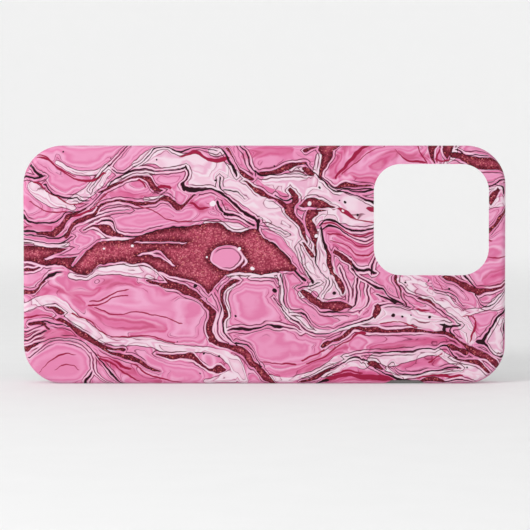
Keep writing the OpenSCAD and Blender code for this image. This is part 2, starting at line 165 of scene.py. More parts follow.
VEINS = [
    ("x", [(-96, 58, 0.8), (-82, 57.2, 0.9), (-80, 55.6, 0.5), (-77, 54.8, 0.3), (-73, 54.9, 0.3),
        (-70, 56.2, 0.3), (-67, 58.4, 0.3), (-63, 59, 0.25), (-60, 60.4, 0.25), (-57, 63.4, 0.3),
        (-54, 66.3, 0.35), (-50, 70, 0.35), (-46, 72.4, 0.35), (-41, 73, 0.3), (-36, 72.6, 0.25),
        (-30, 73, 0.25), (-27, 73.7, 0.4)]),
    ("z", [(66.4, -27.4, 0.9), (68, -28, 0.7), (69.6, -26.6, 0.35), (71.6, -25.9, 0.35),
        (73.6, -26.6, 0.5)]),
    ("x", [(-27.6, 66.8, 0.7), (-25, 65.8, 0.8), (-22, 66.2, 0.7), (-19, 66.7, 0.4), (-16, 65.6, 0.45),
        (-13, 63.6, 0.6), (-10, 60.8, 0.7), (-7, 58.4, 0.6), (-4, 57, 0.6), (-2.6, 55.2, 0.7)]),
    ("z", [(49, 0.6, 0.9), (50.6, -1.2, 0.7), (52.4, -2.3, 0.5), (55.6, -2.4, 0.5)]),
    ("x", [(-0.4, 49.6, 0.8), (1.6, 47.9, 0.7), (3.6, 47.4, 0.5), (5, 45.8, 0.45), (7, 44, 0.4),
        (9, 41.2, 0.45), (10, 38.8, 0.4)]),
    ("x", [(-2, 54, 0.2), (1.5, 53.8, 0.2), (4.5, 52.8, 0.2), (6.8, 51, 0.2)]),
    ("z", [(66.5, -59.4, 0.2), (69, -57.3, 0.2), (72, -55, 0.25), (75, -52.4, 0.3), (78, -49.6, 0.25),
        (82, -46.4, 0.3), (95, -42, 0.3)]),
    ("x", [(-51.4, 73.4, 0.3), (-50, 71.9, 0.35), (-48, 72, 0.3), (-45, 73.5, 0.25), (-42, 75.4, 0.25),
        (-39, 78.2, 0.3), (-36.5, 80.5, 0.4), (-34, 80.9, 0.4), (-31.5, 80, 0.4), (-29, 79.2, 0.35),
        (-26.5, 80, 0.35), (-23, 81, 0.35), (-19, 80, 0.25), (-16.5, 79.3, 0.2)]),
    ("x", [(-96, 71, 0.5), (-81, 70.8, 0.5), (-78, 70.3, 0.4), (-75, 71, 0.3)]),
    ("x", [(-79.6, 74.8, 0.6), (-78, 72.8, 0.6), (-76.4, 71.2, 0.6)]),
    ("x", [(-74.2, 68.2, 0.5), (-72.5, 65.4, 0.4), (-70, 63.9, 0.35), (-67, 63.2, 0.35), (-64, 63.7, 0.3),
        (-62.6, 62.6, 0.3), (-60, 62.5, 0.2)]),
    ("x", [(-96, 52.6, 0.5), (-81, 52.4, 0.5), (-77, 51.9, 0.3), (-73, 52, 0.25)]),
    ("x", [(-96, 51.2, 0.3), (-80, 51, 0.25), (-75, 50.3, 0.25), (-71, 50, 0.3), (-68, 51, 0.4),
        (-66, 53, 0.3)]),
    ("x", [(-96, 49.6, 0.2), (-81, 49.4, 0.2), (-76, 48.6, 0.2), (-72, 48.2, 0.2), (-68, 48.8, 0.3),
        (-66, 50, 0.3)]),
    ("x", [(-56.5, 60.5, 0.3), (-53, 62, 0.35), (-49, 62.2, 0.4), (-45, 61.8, 0.4)]),
    ("x", [(-58.5, 56.6, 0.3), (-55, 58.2, 0.25), (-51, 58.9, 0.2), (-46, 59.2, 0.15)]),
    ("x", [(-57, 54.6, 0.2), (-54, 56, 0.4), (-52.2, 55.4, 0.5), (-51, 53.2, 0.5), (-50, 51.3, 0.4),
        (-47, 50.4, 0.3), (-43, 50.4, 0.3), (-40, 51.4, 0.35), (-35, 52.6, 0.35), (-29, 53.6, 0.3),
        (-23, 54.4, 0.3), (-17, 54.6, 0.3)]),
    ("z", [(57.6, -12.4, 0.6), (58.6, -14, 0.6), (60.2, -15.2, 0.4), (61.8, -16, 0.5)]),
    ("x", [(-13, 57.6, 0.6), (-10, 57, 0.4), (-7, 56, 0.3), (-4, 54.3, 0.5)]),
    ("z", [(71.4, -9.4, 0.4), (74, -10.6, 0.6), (76, -11.8, 0.5), (78, -13, 0.5), (80, -14.6, 0.35),
        (82, -16.8, 0.3)]),
    ("z", [(71.8, -3, 0.3), (74, -4.6, 0.3), (76.4, -5.6, 0.3), (78.6, -6.2, 0.3), (81.4, -7.6, 0.3),
        (95, -9, 0.3)]),
    ("x", [(-3.4, 72.8, 0.3), (-1, 71.4, 0.4), (3, 71.1, 0.3), (8, 71.5, 0.2), (14, 71.2, 0.2)]),
    ("x", [(14.6, 75, 0.3), (16.2, 72.8, 0.3), (18, 70.9, 0.35), (20.4, 69, 0.45), (22.2, 67, 0.35),
        (24.4, 65.8, 0.35), (28, 65.4, 0.25), (32, 64, 0.3), (35.6, 62.2, 0.5), (38, 61.4, 0.7)]),
    ("x", [(19.8, 70.4, 0.3), (22, 68.4, 0.3), (24, 67.1, 0.3), (27, 66.8, 0.25), (31, 66.4, 0.25),
        (36, 66.2, 0.3)]),
    ("x", [(24.8, 66, 0.25), (27, 66.4, 0.25), (30, 65.9, 0.3), (34, 65.4, 0.35), (38, 66.2, 0.3)]),
    ("x", [(4, 64.4, 0.3), (5.6, 62.8, 0.35), (7.6, 62.6, 0.35), (9.6, 63.6, 0.4)]),
    ("z", [(64.6, -12.6, 0.25), (66, -14.6, 0.3), (68, -15.4, 0.3), (69.8, -15.2, 0.35)]),
    ("x", [(-14, 65.9, 0.2), (-11, 65.6, 0.25), (-9, 65.2, 0.25), (-6.8, 63.2, 0.2)]),
    ("z", [(38, 22.6, 0.5), (42, 22, 0.5), (46, 20.9, 0.5), (50, 20, 0.5), (53, 19.2, 0.4)]),
    ("x", [(19, 54, 0.5), (21, 56, 0.5), (23, 56, 0.5), (26, 54.6, 0.4), (29, 52.9, 0.4), (32, 52.2, 0.4),
        (36, 52.7, 0.3), (40, 54, 0.3)]),
    ("x", [(20, 52.5, 0.3), (22.4, 54, 0.5), (25, 53.5, 0.35), (28, 51.4, 0.3), (31, 49.4, 0.25),
        (34, 48.8, 0.25), (38, 50.4, 0.2)]),
    ("x", [(29, 41.6, 0.7), (30.6, 39.8, 0.6), (33, 38.7, 0.5), (35.6, 38.9, 0.5), (37.4, 38, 0.6)]),
    ("z", [(38, 36.9, 0.4), (40.4, 36.8, 0.35), (42.6, 37.8, 0.3), (45, 39.5, 0.3)]),
    ("x", [(30.4, 39.2, 0.4), (33, 36, 0.3), (36, 34.6, 0.4), (38.4, 33.2, 0.7), (40.4, 32.4, 0.4),
        (42, 30, 0.4), (44.4, 28.4, 0.5), (47.4, 27.2, 0.3)]),
    ("x", [(38.6, 30.8, 0.3), (41.4, 29.2, 0.4), (44.2, 27.6, 0.6)]),
    ("x", [(38.2, 26.4, 0.5), (41, 27, 0.25), (45, 27, 0.2), (49.4, 26.4, 0.3)]),
    ("z", [(25, 28.4, 0.2), (27, 31, 0.4), (30, 31.3, 0.35), (33, 31.2, 0.3), (35.6, 32, 0.4)]),
    ("z", [(24.6, 32.4, 0.2), (26.4, 34.6, 0.25), (29, 35.5, 0.3), (32, 34.9, 0.3), (33.4, 35.4, 0.4)]),
    ("x", [(14, 29.2, 0.2), (16.6, 27, 0.2), (19.4, 24.9, 0.3), (22.4, 24.2, 0.4), (26.6, 24.3, 0.2),
        (32.6, 24.8, 0.15)]),
    ("z", [(35, 16.6, 0.5), (37, 15.6, 0.4), (40, 13.2, 0.25), (44, 12.4, 0.2), (46.5, 11.2, 0.15)]),
    ("x", [(10, 38.6, 0.4), (12, 37, 0.5), (13.8, 35.6, 0.6)]),
    ("z", [(35.4, 21.9, 0.2), (37.2, 19.8, 0.25), (40, 18.3, 0.25), (43.6, 17.6, 0.3), (45.6, 17.8, 0.3)]),
    ("x", [(11.6, 32.8, 0.3), (13.4, 33.6, 0.3), (16, 33.6, 0.3), (18.2, 34.4, 0.25)]),
    ("z", [(30.4, 19.8, 0.15), (32.4, 21.4, 0.2), (34.6, 22.1, 0.2), (36, 21.4, 0.2)]),
    ("z", [(28.6, 28.6, 0.25), (31, 28.7, 0.25), (34, 27.9, 0.25), (37.4, 26.8, 0.3), (39.4, 25.6, 0.3)]),
    ("x", [(-12.6, 18.4, 0.25), (-10, 19, 0.5), (-6, 18.8, 0.6), (-2.6, 19.3, 0.5), (1, 20.3, 0.25),
        (4.4, 19.8, 0.6), (7, 19.7, 0.25), (10, 19.2, 0.25), (12.2, 17.6, 0.15)]),
    ("x", [(3.4, 29.4, 0.4), (5, 26.6, 0.4), (7, 24.4, 0.3), (9, 22.8, 0.3), (11.4, 21.2, 0.3),
        (13.4, 19, 0.3), (16, 17.4, 0.25), (19, 16.9, 0.3), (22, 17.1, 0.25), (24.4, 18.4, 0.2),
        (27.4, 19.6, 0.2), (31, 20.5, 0.25), (35, 21.8, 0.3), (37.6, 23.4, 0.4)]),
    ("z", [(25, 8.6, 0.2), (27, 7, 0.2), (30, 6.5, 0.2), (33.4, 6.4, 0.2), (36.4, 5.8, 0.3)]),
    ("x", [(8.8, 24.8, 0.15), (11.4, 24.3, 0.2), (13.4, 24, 0.5), (14.6, 22.2, 0.5), (16, 20.2, 0.2),
        (18.6, 18.7, 0.15), (22, 18.6, 0.15)]),
    ("x", [(-4, 36.2, 0.2), (0, 36.4, 0.2), (3, 36.2, 0.2), (4.2, 34.2, 0.2)]),
    ("z", [(13.6, -9.4, 0.4), (14.6, -11.4, 0.4), (16.4, -13, 0.35), (19, -14.2, 0.35),
        (21.6, -14.2, 0.35)]),
    ("x", [(-9.6, 14.2, 0.4), (-7, 13.8, 0.35), (-4.6, 12, 0.35), (-3, 9, 0.35), (-1.6, 6, 0.4)]),
    ("z", [(13.8, -12.4, 0.2), (15.6, -14.6, 0.2), (18.6, -16.1, 0.2), (21, -16.1, 0.25),
        (23.2, -15.4, 0.2), (25.6, -14.6, 0.3), (28, -15.6, 0.2), (31, -17, 0.2)]),
    ("x", [(-73, 37.2, 0.6), (-70.6, 37.9, 0.3), (-68.8, 38, 0.15)]),
    ("x", [(-76.4, 33.9, 0.4), (-75, 35.6, 0.5), (-72.8, 37.3, 0.6)]),
    ("x", [(-74, 40.5, 0.3), (-70, 40.4, 0.3), (-66, 40, 0.4)]),
    ("x", [(-79, 20.9, 0.25), (-74, 21, 0.3), (-70, 20.6, 0.25), (-66, 19.4, 0.2)]),
    ("x", [(-96, 17.6, 0.2), (-81, 18.2, 0.25), (-77, 19.4, 0.2), (-75, 20.2, 0.3)]),
    ("x", [(-96, 14.6, 0.3), (-81, 15, 0.3), (-78, 16.4, 0.3), (-75, 18, 0.4)]),
    ("x", [(-78, 13.8, 0.3), (-75, 14.8, 0.2), (-70, 15.7, 0.2), (-66, 15.6, 0.2), (-62, 14.2, 0.25),
        (-59, 11.4, 0.35), (-56, 8, 0.4), (-53, 4.6, 0.5), (-50.4, 1.8, 0.6), (-47, -3, 0.6)]),
    ("x", [(-80.4, 8.6, 0.3), (-78, 11.4, 0.25), (-74.6, 13.8, 0.2), (-70, 14.8, 0.2), (-66, 14.6, 0.2),
        (-62.6, 13, 0.2), (-60, 10.6, 0.2)]),
    ("z", [(-3, -52, 0.2), (1, -54.4, 0.2), (3, -57, 0.2), (5, -58.2, 0.25), (8, -58.4, 0.2),
        (10.2, -59.6, 0.2)]),
    ("z", [(-2, -61.2, 0.5), (1, -60.8, 0.5), (2.6, -59.6, 0.5), (3.8, -58.9, 0.3)]),
    ("x", [(22, 4.8, 0.3), (25, 6, 0.3), (27.4, 7.4, 0.3), (29.4, 9, 0.4), (31.4, 9.3, 0.4),
        (33, 8.2, 0.3)]),
    ("x", [(33.8, 8.4, 0.3), (36, 7.2, 0.3), (38.4, 5, 0.3), (41, 3.5, 0.35), (43, 2.6, 0.5),
        (46, 1.3, 0.5), (50, 0.9, 0.4), (55, 0.6, 0.4)]),
    ("x", [(27.8, 9.2, 0.2), (31, 10.4, 0.2), (37, 10.8, 0.25), (44, 11, 0.3), (50, 11.4, 0.25),
        (55, 12.1, 0.3), (58.4, 12.2, 0.25), (60.4, 13.1, 0.35), (62.4, 12.8, 0.4), (63.6, 10.8, 0.35),
        (65.4, 9, 0.35)]),
    ("x", [(46.6, 33.6, 0.3), (48.4, 31.8, 0.25), (51, 30.4, 0.25), (55, 29.1, 0.2), (57.4, 27, 0.3),
        (60, 24.9, 0.25), (63, 23.2, 0.3), (65.4, 21.4, 0.3), (66.6, 20.2, 0.3)]),
    ("x", [(60.2, 20.5, 0.3), (62.4, 20, 0.5), (66.4, 19.9, 0.3)]),
    ("z", [(17.6, 62.4, 0.6), (18.8, 61, 0.5), (20, 61.2, 0.5)]),
    ("z", [(16.6, 64.4, 0.5), (18.4, 62.8, 0.35), (19.8, 63.8, 0.3)]),
    ("x", [(57, 34.6, 0.2), (57.8, 32.4, 0.25), (60.4, 31.7, 0.2), (63.4, 31, 0.25), (66, 28.9, 0.25),
        (67.6, 26.6, 0.25)]),
    ("z", [(32.6, 72, 0.4), (34.4, 70.2, 0.4), (36.6, 68.6, 0.5), (38, 68, 0.4)]),
    ("x", [(72.4, 30.4, 0.4), (73.6, 27.6, 0.3), (75.4, 26.4, 0.25), (77.6, 27, 0.25), (80, 29.4, 0.25),
        (83, 32.4, 0.25), (96, 40, 0.2)]),
    ("x", [(72.6, 14.4, 0.8), (74.4, 14.6, 0.9), (75.8, 13.2, 0.5), (77.4, 11.2, 0.3), (79.6, 9.7, 0.3),
        (82.4, 9.3, 0.6), (96, 9, 0.5)]),
    ("z", [(14.8, 74.4, 0.8), (16.6, 75, 0.6), (18.6, 76.4, 0.5), (20.8, 78.2, 0.5), (22.6, 79.6, 0.6),
        (24.4, 82, 1), (30, 90, 1)]),
    ("z", [(17.2, 82.2, 0.3), (18.6, 82, 0.7), (20.2, 82.2, 0.3)]),
    ("x", [(44.2, 6.6, 0.2), (45.4, 4.4, 0.25), (47.4, 3.2, 0.25), (50.4, 3.1, 0.3), (54.4, 3.7, 0.3),
        (59.4, 4.8, 0.3), (63.4, 5.5, 0.3), (66.6, 5.6, 0.3)]),
    ("x", [(61, 0.2, 0.4), (63.4, 0.8, 0.3), (67, 1.4, 0.3), (70.4, 0.4, 0.3)]),
    ("x", [(17, -3, 0.6), (19.4, 0.4, 0.9), (21.4, 1.4, 0.6)]),
    ("x", [(76.2, 67.6, 0.4), (78, 68, 0.3), (80, 69.2, 0.3), (83, 70.2, 0.3), (96, 73, 0.3)]),
    ("z", [(65.6, 81.6, 0.7), (67.2, 81.4, 0.6), (68.2, 79, 0.3)]),
    ("x", [(66, 79.8, 0.4), (68.4, 77.8, 0.4), (71, 77.9, 0.2), (76, 78.4, 0.2)]),
]
CRIMSON = [
    ("x", [(-77, 3.8, 0.1), (-74.4, 7.2, 0.2), (-70.6, 9.8, 0.3), (-67, 10.4, 0.2), (-64.6, 10, 0.1)]),
    ("x", [(-71, 4.6, 0.1), (-68.4, 6.4, 0.2), (-65.4, 6.2, 0.15), (-63.6, 4.8, 0.1)]),
    ("x", [(-28.6, 77.6, 0.2), (-26, 78.4, 0.4), (-24, 79.2, 0.6), (-22, 78.5, 0.6), (-20, 77.2, 0.5),
        (-18, 76.5, 0.7), (-16, 76.5, 0.7), (-14, 76.8, 0.7), (-12.6, 77.4, 0.5)]),
    ("x", [(-77, 77.8, 0.3), (-74.6, 77.2, 0.4), (-71, 74.4, 0.3), (-68, 71.8, 0.3), (-65, 70, 0.3),
        (-61, 69.3, 0.4), (-57, 69.8, 0.4), (-54.6, 71.6, 0.4)]),
    ("x", [(-96, 82, 0.2), (-75.4, 78.4, 0.3), (-72, 75.6, 0.3), (-68.6, 72.8, 0.3), (-65, 70.8, 0.2)]),
    ("x", [(-78, 68.9, 0.4), (-76, 68.4, 0.4), (-74.4, 66, 0.3), (-72, 64.6, 0.2), (-69, 62.6, 0.3),
        (-65.6, 61.2, 0.2), (-62, 61.4, 0.2)]),
    ("x", [(-79.6, 62.2, 0.2), (-76, 59.6, 0.2), (-71, 58.4, 0.2), (-66, 58.4, 0.2)]),
    ("x", [(-66, 57, 0.3), (-61, 58.4, 0.4), (-58, 60, 0.3), (-56, 62.6, 0.3), (-53, 65.4, 0.2)]),
    ("x", [(-42.6, 69.4, 0.4), (-41.4, 68.6, 0.5), (-41, 67.2, 0.5)]),
    ("x", [(-36.6, 67.2, 0.3), (-34, 67.6, 0.6), (-32.6, 66.8, 0.7)]),
    ("x", [(-44, 61, 0.2), (-40, 59.6, 0.2), (-36, 57.8, 0.2), (-33, 56, 0.2), (-29, 55.4, 0.2),
        (-25, 55.8, 0.2)]),
    ("x", [(-25, 61.6, 0.4), (-23.6, 60.6, 0.6), (-21.6, 59.9, 0.5), (-19, 60.4, 0.2)]),
    ("x", [(-59, 28.1, 0.2), (-56, 28.5, 0.25), (-53, 30, 0.3), (-50, 31.6, 0.25), (-47, 32, 0.2)]),
    ("x", [(-59.6, 26.7, 0.3), (-57, 26.9, 0.3), (-54, 28.2, 0.25), (-51, 29.8, 0.2), (-47, 30.2, 0.2)]),
    ("x", [(-57, 26, 0.25), (-53, 24.4, 0.25), (-50, 23.8, 0.2), (-44, 24.7, 0.2), (-38, 23.8, 0.2),
        (-32, 22.4, 0.2), (-28.4, 20.8, 0.25)]),
    ("x", [(-65, 24.2, 0.3), (-62, 22.6, 0.2), (-59, 21, 0.25), (-56.6, 18.4, 0.25), (-54.4, 16.9, 0.2)]),
    ("x", [(-52, 16.2, 0.2), (-47, 16.2, 0.2), (-40, 16.4, 0.2), (-35, 15.4, 0.2), (-31, 14.2, 0.2)]),
    ("x", [(-96, 22.2, 0.3), (-80, 22.8, 0.3), (-76, 23.4, 0.2), (-72, 22.6, 0.2), (-69, 21.2, 0.2)]),
    ("x", [(-45, 6.6, 0.2), (-41, 4.2, 0.3), (-37, 2.4, 0.3), (-33, 1.4, 0.3), (-29, 0.4, 0.3)]),
    ("x", [(-56, 8.6, 0.3), (-52, 6.8, 0.4), (-49, 4.8, 0.3), (-46, 2.6, 0.3), (-43, 0.6, 0.3)]),
    ("x", [(-57, 9.8, 0.2), (-53, 8.6, 0.2), (-48.6, 6, 0.5), (-46, 4.9, 0.3)]),
    ("x", [(0, 7.2, 0.2), (5, 6.8, 0.2), (10, 6.5, 0.3)]),
    ("x", [(13, 8, 0.3), (17, 9.8, 0.3), (20, 11.4, 0.3)]),
    ("x", [(15, 7, 0.3), (19, 8.4, 0.3), (22, 10.2, 0.3), (25, 12.8, 0.3), (29, 15.4, 0.3), (31, 16.8, 0.4),
        (34, 17.4, 0.4)]),
    ("x", [(20, 54.4, 0.3), (23, 55, 0.3), (26, 53.6, 0.25), (29, 51.4, 0.25), (32, 50.2, 0.25),
        (37, 51.6, 0.25)]),
    ("x", [(22, 51.4, 0.2), (26, 51, 0.25), (29, 48.8, 0.25), (32, 46.8, 0.25), (35, 46.9, 0.25),
        (38, 48.4, 0.2)]),
    ("x", [(23, 49, 0.15), (26, 48, 0.2), (29, 45.8, 0.2), (32, 43.8, 0.25), (35, 43.9, 0.25),
        (38, 45.4, 0.2)]),
    ("x", [(25.4, 59.6, 0.3), (27, 59, 0.8), (28.6, 58, 0.8), (30.4, 56.8, 0.3), (33, 55.6, 0.2),
        (37, 54.8, 0.2)]),
    ("x", [(35.4, 59.4, 0.7), (36.6, 59.2, 0.9), (38, 59.2, 0.6)]),
    ("z", [(70.6, 24.6, 0.5), (73, 26.6, 0.6), (76, 28.6, 0.7), (79, 31.4, 0.9), (81.6, 34.4, 1.2),
        (95, 38, 1.5)]),
    ("z", [(71.6, 26.6, 0.2), (74, 29, 0.25), (77, 32.6, 0.25), (80, 37.6, 0.3), (82, 41, 0.3)]),
    ("z", [(75.4, 55.4, 0.2), (77.4, 53.8, 0.25), (79.4, 52.8, 0.2), (82, 52.4, 0.2)]),
    ("x", [(45, 79.6, 0.2), (46, 77.8, 0.25), (48.4, 76.6, 0.3), (51.4, 76, 0.4), (54.4, 75.6, 0.3)]),
    ("z", [(76.2, 59, 0.3), (77.6, 58.8, 0.35), (79.2, 59.6, 0.3)]),
    ("x", [(58.8, 77, 0.3), (60.6, 76.2, 0.3), (62.6, 76.6, 0.3)]),
    ("z", [(33, 60.6, 0.2), (34.4, 59.6, 0.1), (35.8, 58.6, 0.1)]),
    ("x", [(52, 25.6, 0.2), (53.6, 25, 0.4), (56, 24.8, 0.2)]),
    ("x", [(40, 20.6, 0.2), (45, 20.9, 0.15), (49, 20.3, 0.2), (51.4, 19.4, 0.3)]),
    ("x", [(20, 1.4, 0.3), (24, 2.4, 0.8), (28, 2.9, 0.6), (34, 2.3, 0.9), (40, 2, 1), (43, 1.4, 0.4)]),
    ("x", [(24, 3.6, 0.3), (29, 4.2, 0.3), (33, 3.6, 0.3)]),
    ("x", [(52, 2.1, 0.2), (57, 2.7, 0.3), (61, 2.9, 0.5), (64, 2.4, 0.5), (67, 2.9, 0.3)]),
    ("x", [(56.6, 7.4, 0.3), (58.4, 9, 0.2), (60.4, 10.4, 0.2)]),
    ("x", [(76.4, 49.4, 0.3), (77, 48.8, 0.3)]),
    ("x", [(76.4, 43.2, 0.15), (79.4, 43, 0.2), (82, 43.4, 0.2), (90, 44, 0.2)]),
    ("z", [(14.6, 70, 0.2), (16.6, 70.4, 0.3), (18.8, 71.6, 0.4), (21, 72.2, 0.3), (22.6, 71.2, 0.2)]),
    ("x", [(68, 22.9, 0.15), (70, 23, 0.2), (71.4, 22.2, 0.2)]),
]
PALE = [
    ("x", [(-44, 75, 1), (-41, 76.6, 2), (-37, 77.6, 2.8), (-33, 76.8, 3.4), (-29, 76.2, 2.8),
        (-24, 75.4, 3.2), (-19, 73.2, 3.4), (-14, 71.2, 5.2), (-9, 67.4, 5.2), (-4, 63.6, 5), (0, 59.6, 5),
        (4, 56.6, 5), (8, 52.8, 5.4), (12, 48, 6), (16, 42.4, 6.6), (19.4, 40.6, 6)]),
    ("x", [(-25, 70, 3.2), (-20, 69.8, 2.6), (-14, 69, 4), (-8, 66, 4)]),
    ("x", [(-18, 79.4, 1.4), (-14.4, 79, 1)]),
    ("x", [(0, 69.2, 1.4), (6, 68.4, 3), (12, 67.6, 4.2), (18, 65.6, 4.4), (24, 62.6, 4), (30, 59.6, 4.6),
        (36, 57.6, 4.4), (40, 58, 4)]),
    ("x", [(16, 55, 3), (20, 58, 2), (26, 58, 2.6), (32, 55.2, 2.4), (38, 55.4, 1.6)]),
    ("z", [(29, 20.4, 2.4), (31, 23, 4.4), (33.6, 20.6, 5.4), (36.6, 21.6, 3.4), (39.6, 20.2, 3),
        (44, 19.8, 2), (48, 19.2, 1.6), (52, 18.4, 1)]),
    ("z", [(30, 13, 1.2), (32, 14.6, 2.4), (34, 19, 2)]),
    ("x", [(-96, 26, 1.6), (-81, 26.4, 1.4), (-77, 28, 1.8), (-73.4, 28.6, 1.9), (-70, 27.4, 2),
        (-66, 23.6, 2.4), (-62, 20.4, 2.2), (-58, 17.4, 2), (-53, 15, 1.6), (-47, 14.4, 1.4),
        (-40, 14.2, 1.6), (-34, 12.9, 1.6), (-28, 12, 1.1), (-22, 12, 0.9), (-17, 11, 1.3), (-13, 9.2, 1.9),
        (-10.4, 6.4, 3.2), (-8.4, 4, 4), (-6.4, 1.4, 3)]),
    ("x", [(-20, 0.6, 1.2), (-15, 1.4, 1.6), (-10, 2.6, 2.6)]),
    ("x", [(-66, 37, 0.9), (-61, 36.6, 0.9), (-56, 38.8, 1.4), (-50, 38.9, 1.8), (-44, 38.6, 2.2),
        (-40, 37.8, 2.2), (-37, 37.4, 1.8)]),
    ("x", [(-80, 67.2, 1.4), (-77, 65.6, 2.6), (-73, 62.8, 2.4), (-69, 61.4, 1.4), (-65, 60, 0.7)]),
    ("x", [(-96, 48.4, 0.6), (-81, 48.4, 0.6), (-76, 47.9, 0.6), (-71, 47.4, 0.6), (-67, 47.6, 0.8)]),
    ("x", [(-68, 61, 0.6), (-63, 63.8, 2), (-59, 66.6, 2.4), (-55.6, 69.6, 2.6), (-53, 72.6, 2)]),
    ("x", [(-70, 75.8, 0.8), (-66, 73, 0.9), (-61, 71.6, 0.7), (-57, 71.9, 0.7), (-54, 74, 0.7)]),
    ("x", [(-53, 67.8, 0.5), (-50, 69, 0.6), (-47, 71, 0.6), (-43, 71.8, 0.6), (-38, 71.9, 0.4)]),
    ("x", [(-40, 62.8, 0.6), (-36.6, 63.4, 0.5), (-34.6, 64.2, 0.3)]),
    ("x", [(-56.6, 51.4, 0.3), (-54, 49.8, 0.4), (-50, 49, 0.4), (-44, 49, 0.4)]),
    ("x", [(-20, 55, 0.6), (-15, 54.2, 1), (-10, 53.4, 1.2), (-6, 52.6, 0.6)]),
    ("x", [(-12, 36.8, 0.6), (-9, 37.4, 0.9), (-5, 37.2, 0.9), (0, 37.1, 0.7), (4.4, 36.9, 0.8)]),
    ("z", [(24.6, -11.9, 0.8), (27, -12.5, 0.7), (29.6, -13.2, 0.7), (32, -12.6, 0.8), (34, -10.6, 0.8)]),
    ("z", [(18.4, -13.4, 0.7), (21.4, -12.9, 0.8), (23.4, -12.1, 0.8)]),
    ("z", [(23, 8.2, 1), (26, 6.6, 0.8), (30, 5.8, 0.7), (34, 5.7, 0.7), (36.6, 5.4, 0.9)]),
    ("x", [(8, 24.6, 1.4), (11, 23, 1.2), (13.4, 21.2, 1.2), (15.4, 19, 0.8), (19, 17.8, 0.7),
        (23, 17.9, 0.6), (27, 19, 0.5), (33, 20.4, 0.7), (37, 21.6, 1.6), (41, 23.4, 2.6), (46, 23.4, 2.8),
        (51, 22.2, 3), (56, 21.4, 2.6), (60, 19.6, 1.6)]),
    ("x", [(56, 22.6, 1.6), (60, 21.6, 1.4), (63.4, 21, 0.8)]),
    ("x", [(46, 35.6, 1), (49, 33.6, 1.8), (53, 32.6, 2.4), (57, 30, 2.2), (61, 28.4, 3), (65, 24.4, 3.4),
        (68, 19.6, 4.6), (71, 16.6, 3.4)]),
    ("x", [(48, 36, 1.6), (52, 35, 2.2), (55, 33.4, 1.6)]),
    ("x", [(68, 23.6, 1.4), (72, 25, 1), (75, 25.6, 0.6), (78, 27, 1.8), (82, 28.6, 2.6), (96, 30, 2)]),
    ("z", [(10.6, 80.4, 1.8), (13, 79, 2.6), (16, 78.6, 2.9), (19, 79.6, 2.6), (22, 81.4, 1.8)]),
    ("x", [(22, 6.6, 0.7), (26, 8.6, 1.2), (30, 8, 1.6), (34, 6.4, 1.4), (38, 9, 1.4), (43, 8.6, 2.2),
        (48, 9.2, 1.6), (54, 10.4, 1.2), (59, 11.2, 1.2), (62, 9, 1.4), (67, 6.6, 1), (72, 4, 2),
        (75, 2.6, 1.6)]),
    ("x", [(2, 2, 1.2), (8, 1, 1.2), (13, 2.6, 0.8), (18, 4.6, 0.8), (23, 6.6, 0.8), (28, 9.8, 0.8)]),
    ("x", [(20, 2.8, 0.5), (23.4, 4, 0.6), (27, 5.6, 0.6), (31, 6.4, 0.5)]),
    ("x", [(42, 5.4, 0.8), (47, 2.1, 0.7), (53, 2.9, 0.6), (60, 3.9, 0.6), (67, 4.2, 0.8), (73, 2, 1.6)]),
    ("z", [(75.4, 61.8, 0.6), (77.6, 64.6, 0.9), (79.6, 64.8, 0.8), (81.4, 66, 0.6)]),
    ("x", [(76, 65.6, 0.6), (78.6, 67, 0.6), (80.6, 67.2, 0.5), (81.4, 64.6, 0.6)]),
    ("x", [(76, 60.6, 1), (79, 62, 1.4), (82, 62.6, 1.6), (96, 63, 1.6)]),
    ("x", [(8.6, 73, 0.3), (11, 73.2, 0.9), (13, 73, 0.8)]),
    ("z", [(70.6, 17.4, 0.6), (73, 17.6, 1), (76, 18.4, 1), (77.6, 18.6, 0.8)]),
]
